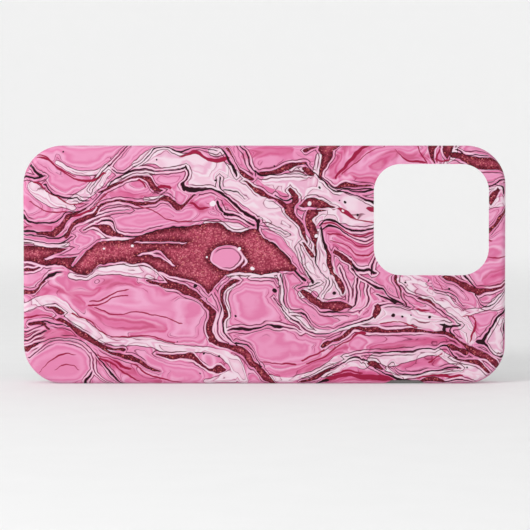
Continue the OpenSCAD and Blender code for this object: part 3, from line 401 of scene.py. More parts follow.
ROSE = [
    ("x", [(-96, 16, 1.6), (-80, 16.4, 1.6), (-75, 16.4, 1.8), (-70, 17.6, 1.8), (-66, 17.6, 1.2),
        (-62, 15.8, 0.7)]),
    ("x", [(-56, 7.6, 1.2), (-52, 6.8, 1.4), (-47, 4.6, 1.4), (-42, 2.2, 1.4), (-36, 0.4, 1.4)]),
    ("x", [(-66, 31, 0.6), (-60, 30.6, 1), (-55, 33.6, 1.4), (-49, 35, 1.2), (-43, 33.8, 0.8)]),
    ("x", [(-60, 25.4, 0.8), (-54, 22, 1.4), (-48, 20.4, 2), (-40, 19.8, 1.6), (-34, 18.8, 0.8)]),
    ("x", [(-26, 62, 1), (-23, 60.4, 1.6), (-20, 59.6, 0.9)]),
    ("x", [(-14, 61.4, 1), (-11, 60.4, 1.4), (-8.6, 59, 0.6)]),
    ("x", [(-52, 64.8, 0.6), (-47, 64.6, 0.8), (-42, 63.8, 0.7), (-37, 65, 0.6)]),
    ("x", [(-96, 53.8, 0.8), (-80, 53.6, 0.9), (-75, 53.2, 0.8), (-71, 53.8, 0.6)]),
    ("x", [(-77, 31, 1.4), (-71, 32.6, 1.2), (-66, 30, 0.8), (-62, 27.6, 0.8)]),
    ("x", [(-7, 78, 1), (-3, 79, 1.8), (3, 80, 2), (9, 80, 1.4)]),
    ("z", [(70.8, 24, 1.6), (73.6, 23.6, 1.4), (77, 25, 1.2), (80.6, 27.6, 1.2), (95, 30, 1)]),
    ("z", [(71, 25.8, 0.9), (74, 28, 1.2), (77, 30.6, 1.4), (80.6, 34.4, 2), (95, 40, 2)]),
    ("x", [(29.6, 71.4, 0.5), (33, 69.6, 1.2), (38, 69.4, 1.4)]),
    ("x", [(36, 74.4, 0.6), (38.4, 75.4, 1.6), (41, 77, 1.8), (45, 78.6, 1.2)]),
    ("x", [(46, 79, 0.8), (49, 77.6, 1), (53, 77.8, 1), (56, 77.4, 0.5)]),
    ("x", [(21, 52.6, 0.8), (24, 52, 1), (28, 49.4, 1.2), (32, 47.2, 1.2), (38, 49.2, 1)]),
    ("x", [(24, 47.6, 0.6), (28, 44.6, 0.8), (32, 42.2, 0.8), (36, 42.6, 0.8), (39, 44, 0.8)]),
    ("x", [(2, 3.2, 0.5), (8, 3.6, 0.7), (14, 5.4, 1.2), (19, 7.6, 1.4), (24, 10.2, 1.4), (28, 13, 1)]),
    ("x", [(21, 1, 1), (26, 2.2, 1.8), (33, 2.4, 2), (39, 2, 1.8), (43, 1.2, 1)]),
    ("x", [(36, 12.8, 0.8), (44, 13, 1.2), (52, 14, 1.2), (60, 15.2, 1), (66, 13.4, 0.8), (71, 10.4, 0.6)]),
    ("x", [(46, 6.6, 0.6), (50, 7.2, 1.4), (56, 7.6, 1.4), (60, 9.6, 1.2), (62, 11.6, 0.5)]),
    ("z", [(14.8, 70.6, 0.6), (17.4, 71.4, 0.8), (20.2, 72.6, 0.6)]),
    ("x", [(66, 36, 1), (69, 33.8, 0.7), (73, 32.8, 0.7), (80, 34.2, 0.7), (96, 36, 0.7)]),
    ("x", [(75, 35, 1.6), (80, 38, 2), (90, 41, 2)]),
]
PALE_DROPS = [
    (-17.6, 61.6, 1, 1), (15.3, 61.2, 0.75, 0.75), (-44.8, 47, 0.5, 0.5), (-54.6, 46, 0.4, 0.4),
    (-8.8, 46, 0.6, 0.6), (-4.2, 39.6, 0.6, 0.6), (-19.6, 43.2, 0.35, 0.35), (26.6, 59.2, 0.35, 0.35),
    (17.8, 50.6, 0.6, 0.6)
]
DARK_DROPS = [
    (18.9, 66.9, 0.5, 0.5), (31.8, 57.8, 0.5, 0.5), (27.6, 61.9, 0.6, 0.6), (25.6, 62.3, 0.35, 0.35),
    (-23.4, 33, 0.7, 0.7), (-9.6, 23.2, 0.4, 0.4), (-16.8, 69.4, 0.4, 0.4), (3.2, 74.3, 0.35, 0.35),
    (56.8, 22.6, 0.6, 0.6), (49.8, 23.4, 0.35, 0.35), (43.6, 23.2, 0.7, 0.7), (46.6, 22.9, 0.5, 0.5),
    (63.2, 32.6, 0.4, 0.4), (56, 35.4, 0.35, 0.35), (47.8, 34.6, 0.4, 0.4), (24, 31.2, 0.6, 0.6),
    (8.4, 51.3, 0.35, 0.35), (-29.6, 14.6, 0.3, 0.3), (-20.4, 10.6, 0.45, 0.45), (-15.4, 9.2, 0.45, 0.45),
    (-22, 3.7, 0.3, 0.3), (-36.6, 76.2, 0.4, 0.4), (-52.2, 77, 0.25, 0.25), (-68.6, 79.4, 0.35, 0.35),
    (3.4, 32.2, 0.9, 0.9), (-31.6, 35, 0.4, 0.4), (65.8, 5.5, 0.4, 0.4), (69.2, 5.6, 0.4, 0.4)
]
PEBBLES = [(-12.7, 42.9, 5.6, 4.1)]
POOL_FOLDS = [
    ("x", [(-42.6, 43.8, 0.2), (-39, 44.4, 0.5), (-36.4, 44.4, 1), (-34, 43, 0.9), (-32, 41.2, 0.6),
        (-31, 40.4, 0.3)]),
    ("x", [(-43.6, 48.4, 0.25), (-38, 48.2, 0.3), (-33, 48.2, 0.25), (-27, 48.4, 0.15)]),
    ("x", [(-74.6, 42.6, 0.3), (-71, 43.6, 0.8), (-68, 44.4, 1.4), (-65, 45, 2), (-63, 46, 2.6),
        (-61.6, 48, 3), (-60, 49.4, 3.4), (-58.4, 50.4, 3), (-56.4, 50.8, 1.2), (-53, 49.4, 0.4)]),
    ("z", [(40.6, -65.4, 0.4), (42.4, -63.6, 0.6), (44.6, -61.8, 0.6), (46.4, -60.8, 0.6)]),
    ("x", [(-35.6, 38, 0.3), (-32, 36.4, 0.9), (-28, 34.9, 1), (-24, 33.2, 1.6), (-20.6, 30.6, 1.6),
        (-18.4, 28.4, 1.2), (-16.6, 26.4, 0.8)]),
    ("z", [(39.8, -7.6, 0.2), (41.6, -6.2, 0.5), (43.6, -7.4, 0.4), (45.6, -9.4, 0.2)]),
    ("x", [(-44, 51.9, 0.1), (-40, 52.4, 0.15), (-35, 53, 0.25), (-30, 53.6, 0.2)]),
]


# ---------------------------------------------------------------- node helpers
class Graph:
    """Short calls for building one node tree. Inputs are always made before the node they feed,
    because the print is too large for the shader stack when its nodes come in another order."""

    def __init__(self, tree):
        self.tree = tree

    def put(self, value, socket):
        if isinstance(value, bpy.types.NodeSocket):
            self.tree.links.new(value, socket)
        else:
            socket.default_value = value

    def math(self, operation, a, b=0.0, c=0.0):
        node = self.tree.nodes.new("ShaderNodeMath")
        node.operation = operation
        for value, socket in zip((a, b, c), node.inputs):
            self.put(value, socket)
        return node.outputs[0]

    def vector(self, operation, a, b=(0, 0, 0), scale=1.0):
        node = self.tree.nodes.new("ShaderNodeVectorMath")
        node.operation = operation
        self.put(a, node.inputs[0])
        self.put(b, node.inputs[1])
        self.put(scale, node.inputs[3])
        return node.outputs["Value"] if operation in ("DOT_PRODUCT", "LENGTH") else node.outputs[0]

    def split(self, vector):
        node = self.tree.nodes.new("ShaderNodeSeparateXYZ")
        self.put(vector, node.inputs[0])
        return node.outputs[0], node.outputs[1], node.outputs[2]

    def join(self, x=0.0, y=0.0, z=0.0):
        node = self.tree.nodes.new("ShaderNodeCombineXYZ")
        for value, socket in zip((x, y, z), node.inputs):
            self.put(value, socket)
        return node.outputs[0]

    def noise(self, vector, scale, detail=2.0, roughness=0.5, distortion=0.0, colour=False):
        node = self.tree.nodes.new("ShaderNodeTexNoise")
        self.put(vector, node.inputs["Vector"])
        for name, value in (("Scale", scale), ("Detail", detail), ("Roughness", roughness),
                            ("Distortion", distortion)):
            node.inputs[name].default_value = value
        return node.outputs["Color" if colour else "Fac"]

    def voronoi(self, vector, scale):
        """Distance to the cell's middle, and the cell's own random colour."""
        node = self.tree.nodes.new("ShaderNodeTexVoronoi")
        self.put(vector, node.inputs["Vector"])
        node.inputs["Scale"].default_value = scale
        return node.outputs["Distance"], node.outputs["Color"]

    def ramp(self, value, stops):
        node = self.tree.nodes.new("ShaderNodeValToRGB")
        elements = node.color_ramp.elements
        while len(elements) < len(stops):
            elements.new(0.5)
        for element, (position, colour) in zip(elements, stops):
            element.position = position
            element.color = colour
        self.put(value, node.inputs[0])
        return node.outputs[0]

    def fade(self, value, zero_at, one_at):
        """0 at zero_at, 1 at one_at, smooth between."""
        node = self.tree.nodes.new("ShaderNodeMapRange")
        node.interpolation_type = "SMOOTHSTEP"
        self.put(value, node.inputs["Value"])
        low, high = sorted((zero_at, one_at))
        ends = (0.0, 1.0) if one_at > zero_at else (1.0, 0.0)
        for name, number in zip(("From Min", "From Max", "To Min", "To Max"), (low, high) + ends):
            node.inputs[name].default_value = number
        return node.outputs[0]

    def mix(self, factor, a, b, blend="MIX"):
        node = self.tree.nodes.new("ShaderNodeMix")
        node.data_type = "RGBA"
        node.blend_type = blend
        self.put(factor, node.inputs[0])
        self.put(a, node.inputs[6])
        self.put(b, node.inputs[7])
        return node.outputs[2]

    def bump(self, height, strength, distance):
        node = self.tree.nodes.new("ShaderNodeBump")
        self.put(height, node.inputs["Height"])
        node.inputs["Strength"].default_value = strength
        node.inputs["Distance"].default_value = distance
        return node.outputs[0]

    def group(self, tree, vector):
        node = self.tree.nodes.new("ShaderNodeGroup")
        node.node_tree = tree
        self.put(vector, node.inputs[0])
        return node.outputs[0]


def new_material(name):
    """An empty material, its graph and its object coordinates in millimetres."""
    material = bpy.data.materials.new(name)
    material.use_nodes = True
    graph = Graph(material.node_tree)
    graph.tree.nodes.clear()
    coords = graph.tree.nodes.new("ShaderNodeTexCoord").outputs["Object"]
    return material, graph, graph.vector("SCALE", coords, scale=1 / MM)


def finish_material(graph, **inputs):
    """The last two nodes: one principled shader and the output."""
    shader = graph.tree.nodes.new("ShaderNodeBsdfPrincipled")
    for name, value in inputs.items():
        graph.put(value, shader.inputs[name.replace("_", " ")])
    output = graph.tree.nodes.new("ShaderNodeOutputMaterial")
    graph.tree.links.new(shader.outputs[0], output.inputs[0])


# ---------------------------------------------------------------- marble line work
def mm(value):
    """Millimetres in the line work's distance unit."""
    return value / WIDTH_UNIT


def field_group(name, build):
    """A node group that turns a point on the print (x, z, 0) into one distance."""
    tree = bpy.data.node_groups.new(name, "ShaderNodeTree")
    tree.interface.new_socket("Point", in_out="INPUT", socket_type="NodeSocketVector")
    tree.interface.new_socket("Distance", in_out="OUTPUT", socket_type="NodeSocketFloat")
    graph = Graph(tree)
    distance = build(graph, tree.nodes.new("NodeGroupInput").outputs[0])
    graph.put(distance, tree.nodes.new("NodeGroupOutput").inputs[0])
    return tree


def nearest(graph, total, distance, softness=0.0):
    """The smaller distance, with a rounded join if there is softness; total is None at the first."""
    if total is None:
        return distance
    if softness:
        return graph.math("SMOOTH_MIN", total, distance, softness)
    return graph.math("MINIMUM", total, distance)


def stroke_curves(axis, points):
    """Centre line and edge level (LEVEL less the half width) of one stroke, pointed at both ends."""
    own, other = (SPAN_X, SPAN_Z) if axis == "x" else (SPAN_Z, SPAN_X)
    own_shift, other_shift = (0.0, MID_Z) if axis == "x" else (MID_Z, 0.0)
    centre = [((s - own_shift) / own, (c - other_shift) / other) for s, c, _ in points]
    width = [((s - own_shift) / own, LEVEL - mm(w)) for s, _, w in points]
    first, last = width[0][0], width[-1][0]
    for beyond, half_width in TIPS:
        closed = LEVEL - mm(half_width)
        if first > -0.98:
            width.insert(0, (first - beyond / own, closed))
        if last < 0.98:
            width.append((last + beyond / own, closed))
    return centre, width


def curve_node(graph, axis, points):
    """A vector curve that gives a stroke's centre line in its first channel, edge level in its second."""
    node = graph.tree.nodes.new("ShaderNodeVectorCurve")
    node.mapping.use_clip = False
    node.mapping.extend = "HORIZONTAL"
    for curve, places in zip(node.mapping.curves, stroke_curves(axis, points)):
        curve.points[0].location = places[0]
        curve.points[1].location = places[-1]
        for place in places[1:-1]:
            curve.points.new(*place)
        for dot in curve.points:
            dot.handle_type = "AUTO_CLAMPED"
    node.mapping.update()
    return node


def stroke_field(name, table, softness=0.0):
    """Distance to the edge of the nearest stroke, below zero inside it."""
    def build(graph, point):
        x, z, _ = graph.split(point)
        along_x = graph.math("DIVIDE", x, SPAN_X)
        along_z = graph.math("DIVIDE", graph.math("SUBTRACT", z, MID_Z), SPAN_Z)
        stations = {"x": graph.join(along_x, along_x), "z": graph.join(along_z, along_z)}
        sideways = {"x": graph.join(along_z), "z": graph.join(along_x)}
        reach = {"x": (mm(SPAN_Z), 1.0, 0.0), "z": (mm(SPAN_X), 1.0, 0.0)}
        total = None
        for axis, points in table:
            node = curve_node(graph, axis, points)
            graph.put(stations[axis], node.inputs["Vector"])
            away = graph.vector("ABSOLUTE", graph.vector("SUBTRACT", sideways[axis], node.outputs[0]))
            total = nearest(graph, total, graph.vector("DOT_PRODUCT", away, reach[axis]), softness)
        return graph.math("SUBTRACT", total, LEVEL)
    return field_group(name, build)


def drop_field(name, table):
    """Distance to the edge of the nearest round or oval drop, below zero inside it."""
    def build(graph, point):
        total = None
        for x, z, half_x, half_z in table:
            offset = graph.vector("SUBTRACT", point, (x, z, 0))
            scaled = graph.vector("MULTIPLY", offset, (1 / half_x, 1 / half_z, 0))
            size = mm(min(half_x, half_z))
            distance = graph.math("MULTIPLY_ADD", graph.vector("LENGTH", scaled), size, -size)
            total = nearest(graph, total, distance)
        return total
    return field_group(name, build)


# ---------------------------------------------------------------- printed shell
PINK_TONES = [srgb(237, 157, 195), srgb(232, 142, 183), srgb(240, 169, 204), srgb(228, 129, 173),
              srgb(236, 153, 192), srgb(231, 137, 179), srgb(243, 180, 211), srgb(223, 118, 163)]
MILK_TONES = [srgb(243, 216, 229), srgb(240, 198, 217), srgb(244, 222, 233), srgb(235, 180, 206)]
ROSE_TONES = [srgb(206, 72, 124), srgb(220, 100, 150), srgb(194, 56, 106), srgb(214, 86, 138)]
PEBBLE_PINK = srgb(236, 149, 189)
PALE_LINE = srgb(245, 216, 230)
WHITE_DROP = srgb(246, 232, 240)
FLOW_THREAD = srgb(160, 40, 88)
FLOW_HAIR = srgb(112, 18, 56)
DARK_THREAD = srgb(84, 12, 38)
CRIMSON_TONE = srgb(158, 26, 66)
VEIN_TONE = srgb(40, 6, 18)
POOL_EDGE = srgb(50, 4, 16)
POOL_GAP = srgb(134, 30, 56)
POOL_FLAKES = [(0.0, srgb(156, 46, 72)), (0.45, srgb(198, 82, 108)), (0.8, srgb(224, 114, 134)),
               (1.0, srgb(236, 140, 156))]
STREAM_FLAKES = [(0.0, srgb(48, 2, 12)), (0.5, srgb(84, 10, 28)), (0.8, srgb(130, 34, 54)),
                 (1.0, srgb(186, 84, 94))]
SPARK_PINK = srgb(226, 132, 146)
SPARK_GOLD = srgb(204, 112, 92)
SHELL_WHITE = srgb(240, 240, 240)
# Share of the light that the printed colours give back, against the same colours on a screen
INK = 0.83

SLOW_WOBBLE = 2.2
FINE_WOBBLE = 0.45
# How strongly the poured bands follow each kind of stroke, and how far out
BAND_WEIGHTS = [("dark", 1.6), ("pale", 1.2), ("rose", 0.9)]
BAND_REACH = 3.5
# Threads fade out between these distances from the strokes
THREAD_REACH = (2.4, 4.2)
FLAKE_SCALE = 2.2
# Depth of the ink on the plastic, from fully printed to bare
INK_DEPTH = (0.05, 0.14)


def bands(g, value, tones, edge):
    """Flat tones with soft steps between them, repeating as value passes each whole number."""
    count = len(tones)
    stops = []
    for k, tone in enumerate(tones):
        stops.append(((k + edge / 2) / count, tone))
        stops.append(((k + 1 - edge / 2) / count, tone))
    seam = [sum(pair) / 2 for pair in zip(tones[0], tones[-1])]
    return g.ramp(g.math("FRACT", value), [(0.0, seam)] + stops + [(1.0, seam)])


def levelled(g, distance):
    """The distance brought to within -1 and 1, so that its contours crowd near the edge at zero."""
    return g.math("DIVIDE", distance, g.math("ADD", g.math("ABSOLUTE", distance), mm(BAND_REACH)))


def line(g, distance, at, half_width):
    """1 along the contour of distance that lies at millimetres outside the edge, fading to 0."""
    away = g.math("ABSOLUTE", g.math("SUBTRACT", distance, mm(at)))
    return g.fade(away, mm(half_width + 0.09), mm(half_width - 0.03))


def unwrapped(g, point):
    """The point on the print laid flat, the way in from the outline, and the depth behind the back."""
    x, y, z = g.split(point)
    depth = g.math("SUBTRACT", y, BACK_Y)
    # How far the point lies outside the flat core of the back, and in which direction
    core_x = HALF_LENGTH - CORNER_ROUND
    core_z = MID_Z - CORNER_ROUND
    side_x = g.math("SUBTRACT", x, g.math("MAXIMUM", g.math("MINIMUM", x, core_x), -core_x))
    up = g.math("SUBTRACT", z, MID_Z)
    side_z = g.math("SUBTRACT", up, g.math("MAXIMUM", g.math("MINIMUM", up, core_z), -core_z))
    outward = g.join(side_x, side_z)
    inset = g.math("SUBTRACT", CORNER_ROUND, g.vector("LENGTH", outward))
    # Past the edge, depth counts as distance outward
    direction = g.vector("NORMALIZE", outward)
    rim = g.fade(inset, EDGE_ROUND, 0.4)
    wrap = g.vector("SCALE", direction, scale=g.math("MULTIPLY", depth, rim))
    return g.vector("ADD", g.join(x, z), wrap), inset, depth


def wobbled(g, flat):
    """The flat point moved by a slow and a fine wobble, which bend every line."""
    slow = g.vector("SUBTRACT", g.noise(flat, 0.15, detail=2.0, colour=True), (0.5, 0.5, 0.5))
    fine = g.vector("SUBTRACT", g.noise(flat, 0.5, detail=1.0, colour=True), (0.5, 0.5, 0.5))
    moved = g.vector("ADD", flat, g.vector("SCALE", slow, scale=SLOW_WOBBLE))
    return g.vector("ADD", moved, g.vector("SCALE", fine, scale=FINE_WOBBLE))


def stroke_distances(g, moved):
    """Distance to the edge of each kind of stroke and drop."""
    pool = g.group(stroke_field("glitter_pools", GLITTER, mm(0.5)), moved)
    pebble = g.group(drop_field("pebbles", PEBBLES), moved)
    folds = g.math("MINIMUM", g.group(stroke_field("pool_folds", POOL_FOLDS), moved), pebble)
    pool = g.math("MAXIMUM", pool, g.math("MULTIPLY", folds, -1.0))
    veins = g.group(stroke_field("dark_veins", VEINS, mm(0.25)), moved)
    dark = g.math("MINIMUM", pool, veins)
    veins = g.math("MINIMUM", veins, g.group(drop_field("dark_drops", DARK_DROPS), moved))
    return {
        "pool": pool, "pebble": pebble, "veins": veins, "dark": dark,
        "crimson": g.group(stroke_field("crimson_threads", CRIMSON), moved),
        "pale": g.group(stroke_field("pale_ribbons", PALE, mm(1.2)), moved),
        "rose": g.group(stroke_field("rose_ribbons", ROSE, mm(1.2)), moved),
        "drops": g.group(drop_field("pale_drops", PALE_DROPS), moved),
    }


def poured_bands(g, moved, to):
    """Nested bands that follow the strokes, and the flow value whose contours they are."""
    swirl = g.noise(g.vector("MULTIPLY", moved, (0.3, 1.0, 1.0)), 0.07, 1.0, 0.35, 0.6)
    flow = g.math("MULTIPLY", swirl, 3.4)
    for kind, weight in BAND_WEIGHTS:
        flow = g.math("MULTIPLY_ADD", levelled(g, to[kind]), weight, flow)
    colour = bands(g, g.math("MULTIPLY", flow, 0.6), PINK_TONES, 0.7)
    colour = g.mix(g.fade(to["pebble"], mm(-0.4), mm(-1.0)), colour, PEBBLE_PINK)
    rose = bands(g, g.math("MULTIPLY", flow, 1.3), ROSE_TONES, 0.4)
    colour = g.mix(g.math("MULTIPLY", g.fade(to["rose"], mm(0.8), mm(-0.6)), 0.68), colour, rose)
    milk = bands(g, g.math("MULTIPLY", flow, 1.4), MILK_TONES, 0.5)
    return g.mix(g.fade(to["pale"], mm(0.15), mm(-0.15)), colour, milk), flow


def thin_threads(g, colour, flow, to, masks):
    """Threads along the flow and round the pale ribbons; patchy masks let them come and go."""
    mask_a, mask_b, mask_c = masks
    lobes = g.math("PINGPONG", g.math("MULTIPLY", flow, 2.2), 1.0)
    near = g.fade(g.math("MINIMUM", to["dark"], to["pale"]), mm(THREAD_REACH[1]), mm(THREAD_REACH[0]))
    near = g.math("MULTIPLY", near, g.fade(to["pebble"], mm(-0.4), mm(0.4)))
    thread = g.fade(lobes, 0.07, 0.0)
    thread = g.math("MULTIPLY", thread, g.math("MULTIPLY", g.fade(mask_a, 0.44, 0.5), near))
    colour = g.mix(g.math("MULTIPLY", thread, 0.85), colour, FLOW_THREAD)
    hair = g.math("PINGPONG", g.math("MULTIPLY_ADD", flow, 3.1, 0.37), 1.0)
    hair = g.fade(hair, 0.08, 0.0)
    hair = g.math("MULTIPLY", hair, g.math("MULTIPLY", g.fade(mask_c, 0.58, 0.52), near))
    colour = g.mix(g.math("MULTIPLY", hair, 0.8), colour, FLOW_HAIR)
    shore = g.math("MULTIPLY", line(g, to["pale"], 0.1, 0.12), g.fade(mask_b, 0.4, 0.48))
    return g.mix(g.math("MULTIPLY", shore, 0.9), colour, DARK_THREAD)


def dark_lines(g, colour, to, masks):
    """Beside a pool or vein a pale line, then a dark thread further out; then the veins themselves."""
    mask_a, _, mask_c = masks
    halo = g.math("MULTIPLY", line(g, to["dark"], 0.4, 0.16), g.fade(mask_c, 0.5, 0.58))
    colour = g.mix(g.math("MULTIPLY", halo, 0.8), colour, PALE_LINE)
    outer = g.math("MULTIPLY", line(g, to["dark"], 0.9, 0.14), g.fade(mask_a, 0.6, 0.54))
    colour = g.mix(g.math("MULTIPLY", outer, 0.9), colour, DARK_THREAD)
    colour = g.mix(g.fade(to["crimson"], mm(0.1), mm(-0.08)), colour, CRIMSON_TONE)
    return g.mix(g.fade(to["veins"], mm(0.02), mm(-0.13)), colour, VEIN_TONE)


def glitter(g, flat, moved, pool):
    """Small flakes of mixed tone with dark gaps, darker in the thin streams, and each flake's tilt."""
    gap, cell = g.voronoi(flat, FLAKE_SCALE)
    flake, tilt, warm = g.split(cell)
    patch = g.fade(g.noise(moved, 0.14, 2.0), 0.35, 0.65)
    inside = g.fade(pool, mm(-0.5), mm(-2.6))
    inside = g.math("MULTIPLY", inside, g.math("MULTIPLY_ADD", patch, 0.25, 0.75))
    colour = g.mix(inside, g.ramp(flake, STREAM_FLAKES), g.ramp(flake, POOL_FLAKES))
    spark = g.math("MULTIPLY", g.fade(flake, 0.88, 0.98), 0.6)
    colour = g.mix(spark, colour, g.mix(warm, SPARK_PINK, SPARK_GOLD))
    colour = g.mix(g.math("MULTIPLY", g.fade(gap, 0.4, 0.62), 0.6), colour, POOL_GAP)
    rim = g.math("MULTIPLY", g.fade(pool, mm(-0.32), mm(-0.08)), 0.95)
    return g.mix(rim, colour, POOL_EDGE), tilt


def bare_inside(g, colour, inset, depth):
    """Bare white plastic wherever the point is not on the outer skin."""
    across = g.math("MAXIMUM", g.math("SUBTRACT", EDGE_ROUND, inset), 0.0)
    back = g.math("MAXIMUM", g.math("SUBTRACT", EDGE_ROUND, depth), 0.0)
    skin = g.math("SUBTRACT", EDGE_ROUND, g.vector("LENGTH", g.join(across, back)))
    return g.mix(g.fade(skin, INK_DEPTH[1], INK_DEPTH[0]), SHELL_WHITE, colour)


def printed_shell_material():
    """Satin print of poured marble, very slight orange peel, and fine scuffs."""
    material, g, point = new_material("printed_shell")
    flat, inset, depth = unwrapped(g, point)
    moved = wobbled(g, flat)
    to = stroke_distances(g, moved)
    masks = g.split(g.noise(moved, 0.06, detail=1.0, colour=True))
    colour, flow = poured_bands(g, moved, to)
    colour = thin_threads(g, colour, flow, to, masks)
    colour = dark_lines(g, colour, to, masks)
    flakes, tilt = glitter(g, flat, moved, to["pool"])
    in_pool = g.fade(to["pool"], mm(0.06), mm(-0.06))
    colour = g.mix(in_pool, colour, flakes)
    colour = g.mix(g.fade(to["drops"], mm(0.1), mm(-0.1)), colour, WHITE_DROP)
    colour = bare_inside(g, colour, inset, depth)
    colour = g.mix(1.0, colour, (INK, INK, INK, 1), "MULTIPLY")
    peel = g.noise(flat, 0.5, 2.0)
    scuffs = g.noise(g.vector("MULTIPLY", flat, (0.4, 3.0, 1.0)), 0.6, 4.0, 0.7)
    roughness = g.math("MULTIPLY_ADD", scuffs, 0.2, 0.2)
    roughness = g.math("MULTIPLY_ADD", g.math("MULTIPLY", in_pool, tilt), 0.12, roughness)
    finish_material(g, Base_Color=colour, Roughness=roughness, Normal=g.bump(peel, 0.05, 0.0002),
                    Specular_IOR_Level=0.14)
    return material


# ---------------------------------------------------------------- plain materials
LINER_GREY = [srgb(112, 109, 108), srgb(126, 122, 120)]
LINER_DUST = srgb(156, 152, 150)
NAP_DARK = [srgb(86, 84, 88), srgb(110, 107, 112)]
# Painted highlight on the fibre tips, and painted shade at the fibre roots between the tufts
NAP_TIP_HIGHLIGHT = srgb(150, 147, 153)
NAP_ROOT_SHADE = srgb(66, 64, 68)
# Paler nap over the raised ring: partly rubbed wear, partly painted sheen
NAP_RUBBED_SHEEN = srgb(150, 147, 152)
NICKEL = [srgb(168, 167, 163), srgb(205, 204, 200)]
FILM_WHITE = [srgb(222, 222, 224), srgb(236, 236, 238)]
BUTTON_GREY = [srgb(92, 90, 90), srgb(108, 105, 104)]


def soft_liner_material():
    """Moulded silicone: a fine grain, slow clouding, and dust in places."""
    material, g, point = new_material("soft_liner")
    cloud = g.noise(point, 0.08, 3.0)
    grain, _ = g.voronoi(point, 3.2)
    dust = g.noise(point, 1.6, 6.0, 0.75)
    tone = g.mix(cloud, *LINER_GREY)
    tone = g.mix(g.math("MULTIPLY", g.fade(dust, 0.6, 0.8), 0.3), tone, LINER_DUST)
    roughness = g.math("MULTIPLY_ADD", dust, 0.18, 0.48)
    finish_material(g, Base_Color=tone, Roughness=roughness, Normal=g.bump(grain, 0.18, 0.00005),
                    IOR=1.45, Sheen_Weight=0.15)
    return material


def microfibre_material():
    """Brushed nap: long soft strokes where it lies one way or the other, and short fibres in it, with a
    painted highlight on the fibre tips and painted shade between the tufts.
    """
    material, g, point = new_material("microfibre")
    x, _, z = g.split(point)
    strokes = g.noise(g.vector("MULTIPLY", point, (1.0, 1.0, 0.3)), 0.11, 3.0, 0.55, 0.7)
    fibres = g.noise(g.vector("MULTIPLY", point, (1.6, 1.0, 0.5)), 2.4, 6.0, 0.75, 0.8)
    tufts, _ = g.voronoi(point, 1.5)
    tone = g.mix(g.fade(strokes, 0.38, 0.62), *NAP_DARK)
    # Painted highlight: the fibre tips are paler
    tone = g.mix(g.math("MULTIPLY", g.fade(fibres, 0.42, 0.7), 0.55), tone, NAP_TIP_HIGHLIGHT)
    # Painted shade: darker between the tufts, at the fibre roots
    tone = g.mix(g.math("MULTIPLY", g.fade(tufts, 0.25, 0.6), 0.25), tone, NAP_ROOT_SHADE)
    # The nap is painted a little paler where the cloth stands up over the ring magnets: partly rubbed wear,
    # partly a painted sheen on the raised ring
    radius = g.vector("LENGTH", g.join(x, g.math("SUBTRACT", z, MID_Z)))
    ring = g.math("SUBTRACT", g.math("ABSOLUTE", g.math("SUBTRACT", radius, RING_RADIUS)), RING_HALF_WIDTH)
    rub = g.math("MULTIPLY", g.fade(ring, 0.4, -1.2), g.fade(fibres, 0.35, 0.6))
    tone = g.mix(g.math("MULTIPLY", rub, 0.22), tone, NAP_RUBBED_SHEEN)
    height = g.math("ADD", fibres, g.math("MULTIPLY", tufts, 0.5))
    finish_material(g, Base_Color=tone, Roughness=0.93, Normal=g.bump(height, 0.5, 0.00012),
                    Sheen_Weight=0.5, Sheen_Roughness=0.4)
    return material


def magnet_material():
    """Nickel plate, brushed along the case."""
    material, g, point = new_material("nickel_magnet")
    brushing = g.noise(g.vector("MULTIPLY", point, (0.6, 4.0, 0.6)), 3.0, 6.0, 0.7)
    tone = g.mix(brushing, *NICKEL)
    roughness = g.math("MULTIPLY_ADD", brushing, 0.2, 0.22)
    finish_material(g, Base_Color=tone, Metallic=1.0, Roughness=roughness,
                    Normal=g.bump(brushing, 0.1, 0.00002))
    return material


def film_material():
    """Matt white film with a slight haze."""
    material, g, point = new_material("sealing_film")
    haze = g.noise(point, 0.7, 4.0)
    tone = g.mix(haze, *FILM_WHITE)
    finish_material(g, Base_Color=tone, Roughness=g.math("MULTIPLY_ADD", haze, 0.2, 0.3),
                    Normal=g.bump(haze, 0.1, 0.00003))
    return material


def button_material():
    """Stippled moulded plastic, rubbed smoother in places."""
    material, g, point = new_material("button_plastic")
    stipple, _ = g.voronoi(point, 5.0)
    rub = g.noise(point, 0.8, 4.0)
    tone = g.mix(rub, *BUTTON_GREY)
    finish_material(g, Base_Color=tone, Roughness=g.math("MULTIPLY_ADD", rub, 0.2, 0.32),
                    Normal=g.bump(stipple, 0.15, 0.00003))
    return material


LOOKS = [
    (("outer_shell",), printed_shell_material),
    (("liner_tray",), soft_liner_material),
    (("ring_magnets", "alignment_magnet"), magnet_material),
    (("ring_magnet_film", "bar_magnet_film"), film_material),
    (("volume_up_cap", "volume_down_cap", "side_button_cap"), button_material),
]


def dress_nodes():
    """Gives each CAD node that stays in view its material."""
    for nodes, make_material in LOOKS:
        material = make_material()
        for name in nodes:
            slots = bpy.data.objects[name].data.materials
            slots.clear()
            slots.append(material)


# ---------------------------------------------------------------- cloth lining
CLOTH_STEP = 1.1
# How far the cloth lies below its full height: away from the magnets, by its own waviness, and at its
# cut edges, where it rolls over within ROLL_REACH; in all no more than SINK_LIMIT
CLOTH_SINK = 0.07
CLOTH_WAVE = 0.02
CLOTH_ROLL = 0.13
ROLL_REACH = 1.2
SINK_LIMIT = 0.2
WAVES_PER_MM = 0.12
# Way outside a magnet's outline at which its imprint is gone, and at which it is full
IMPRINT_EDGE = (0.9, -0.5)
# Points closer than this count as one place
SAME_PLACE_M = 1e-7


def smooth_step(value, zero_at, one_at):
    t = min(max((value - zero_at) / (one_at - zero_at), 0.0), 1.0)
    return t * t * (3 - 2 * t)


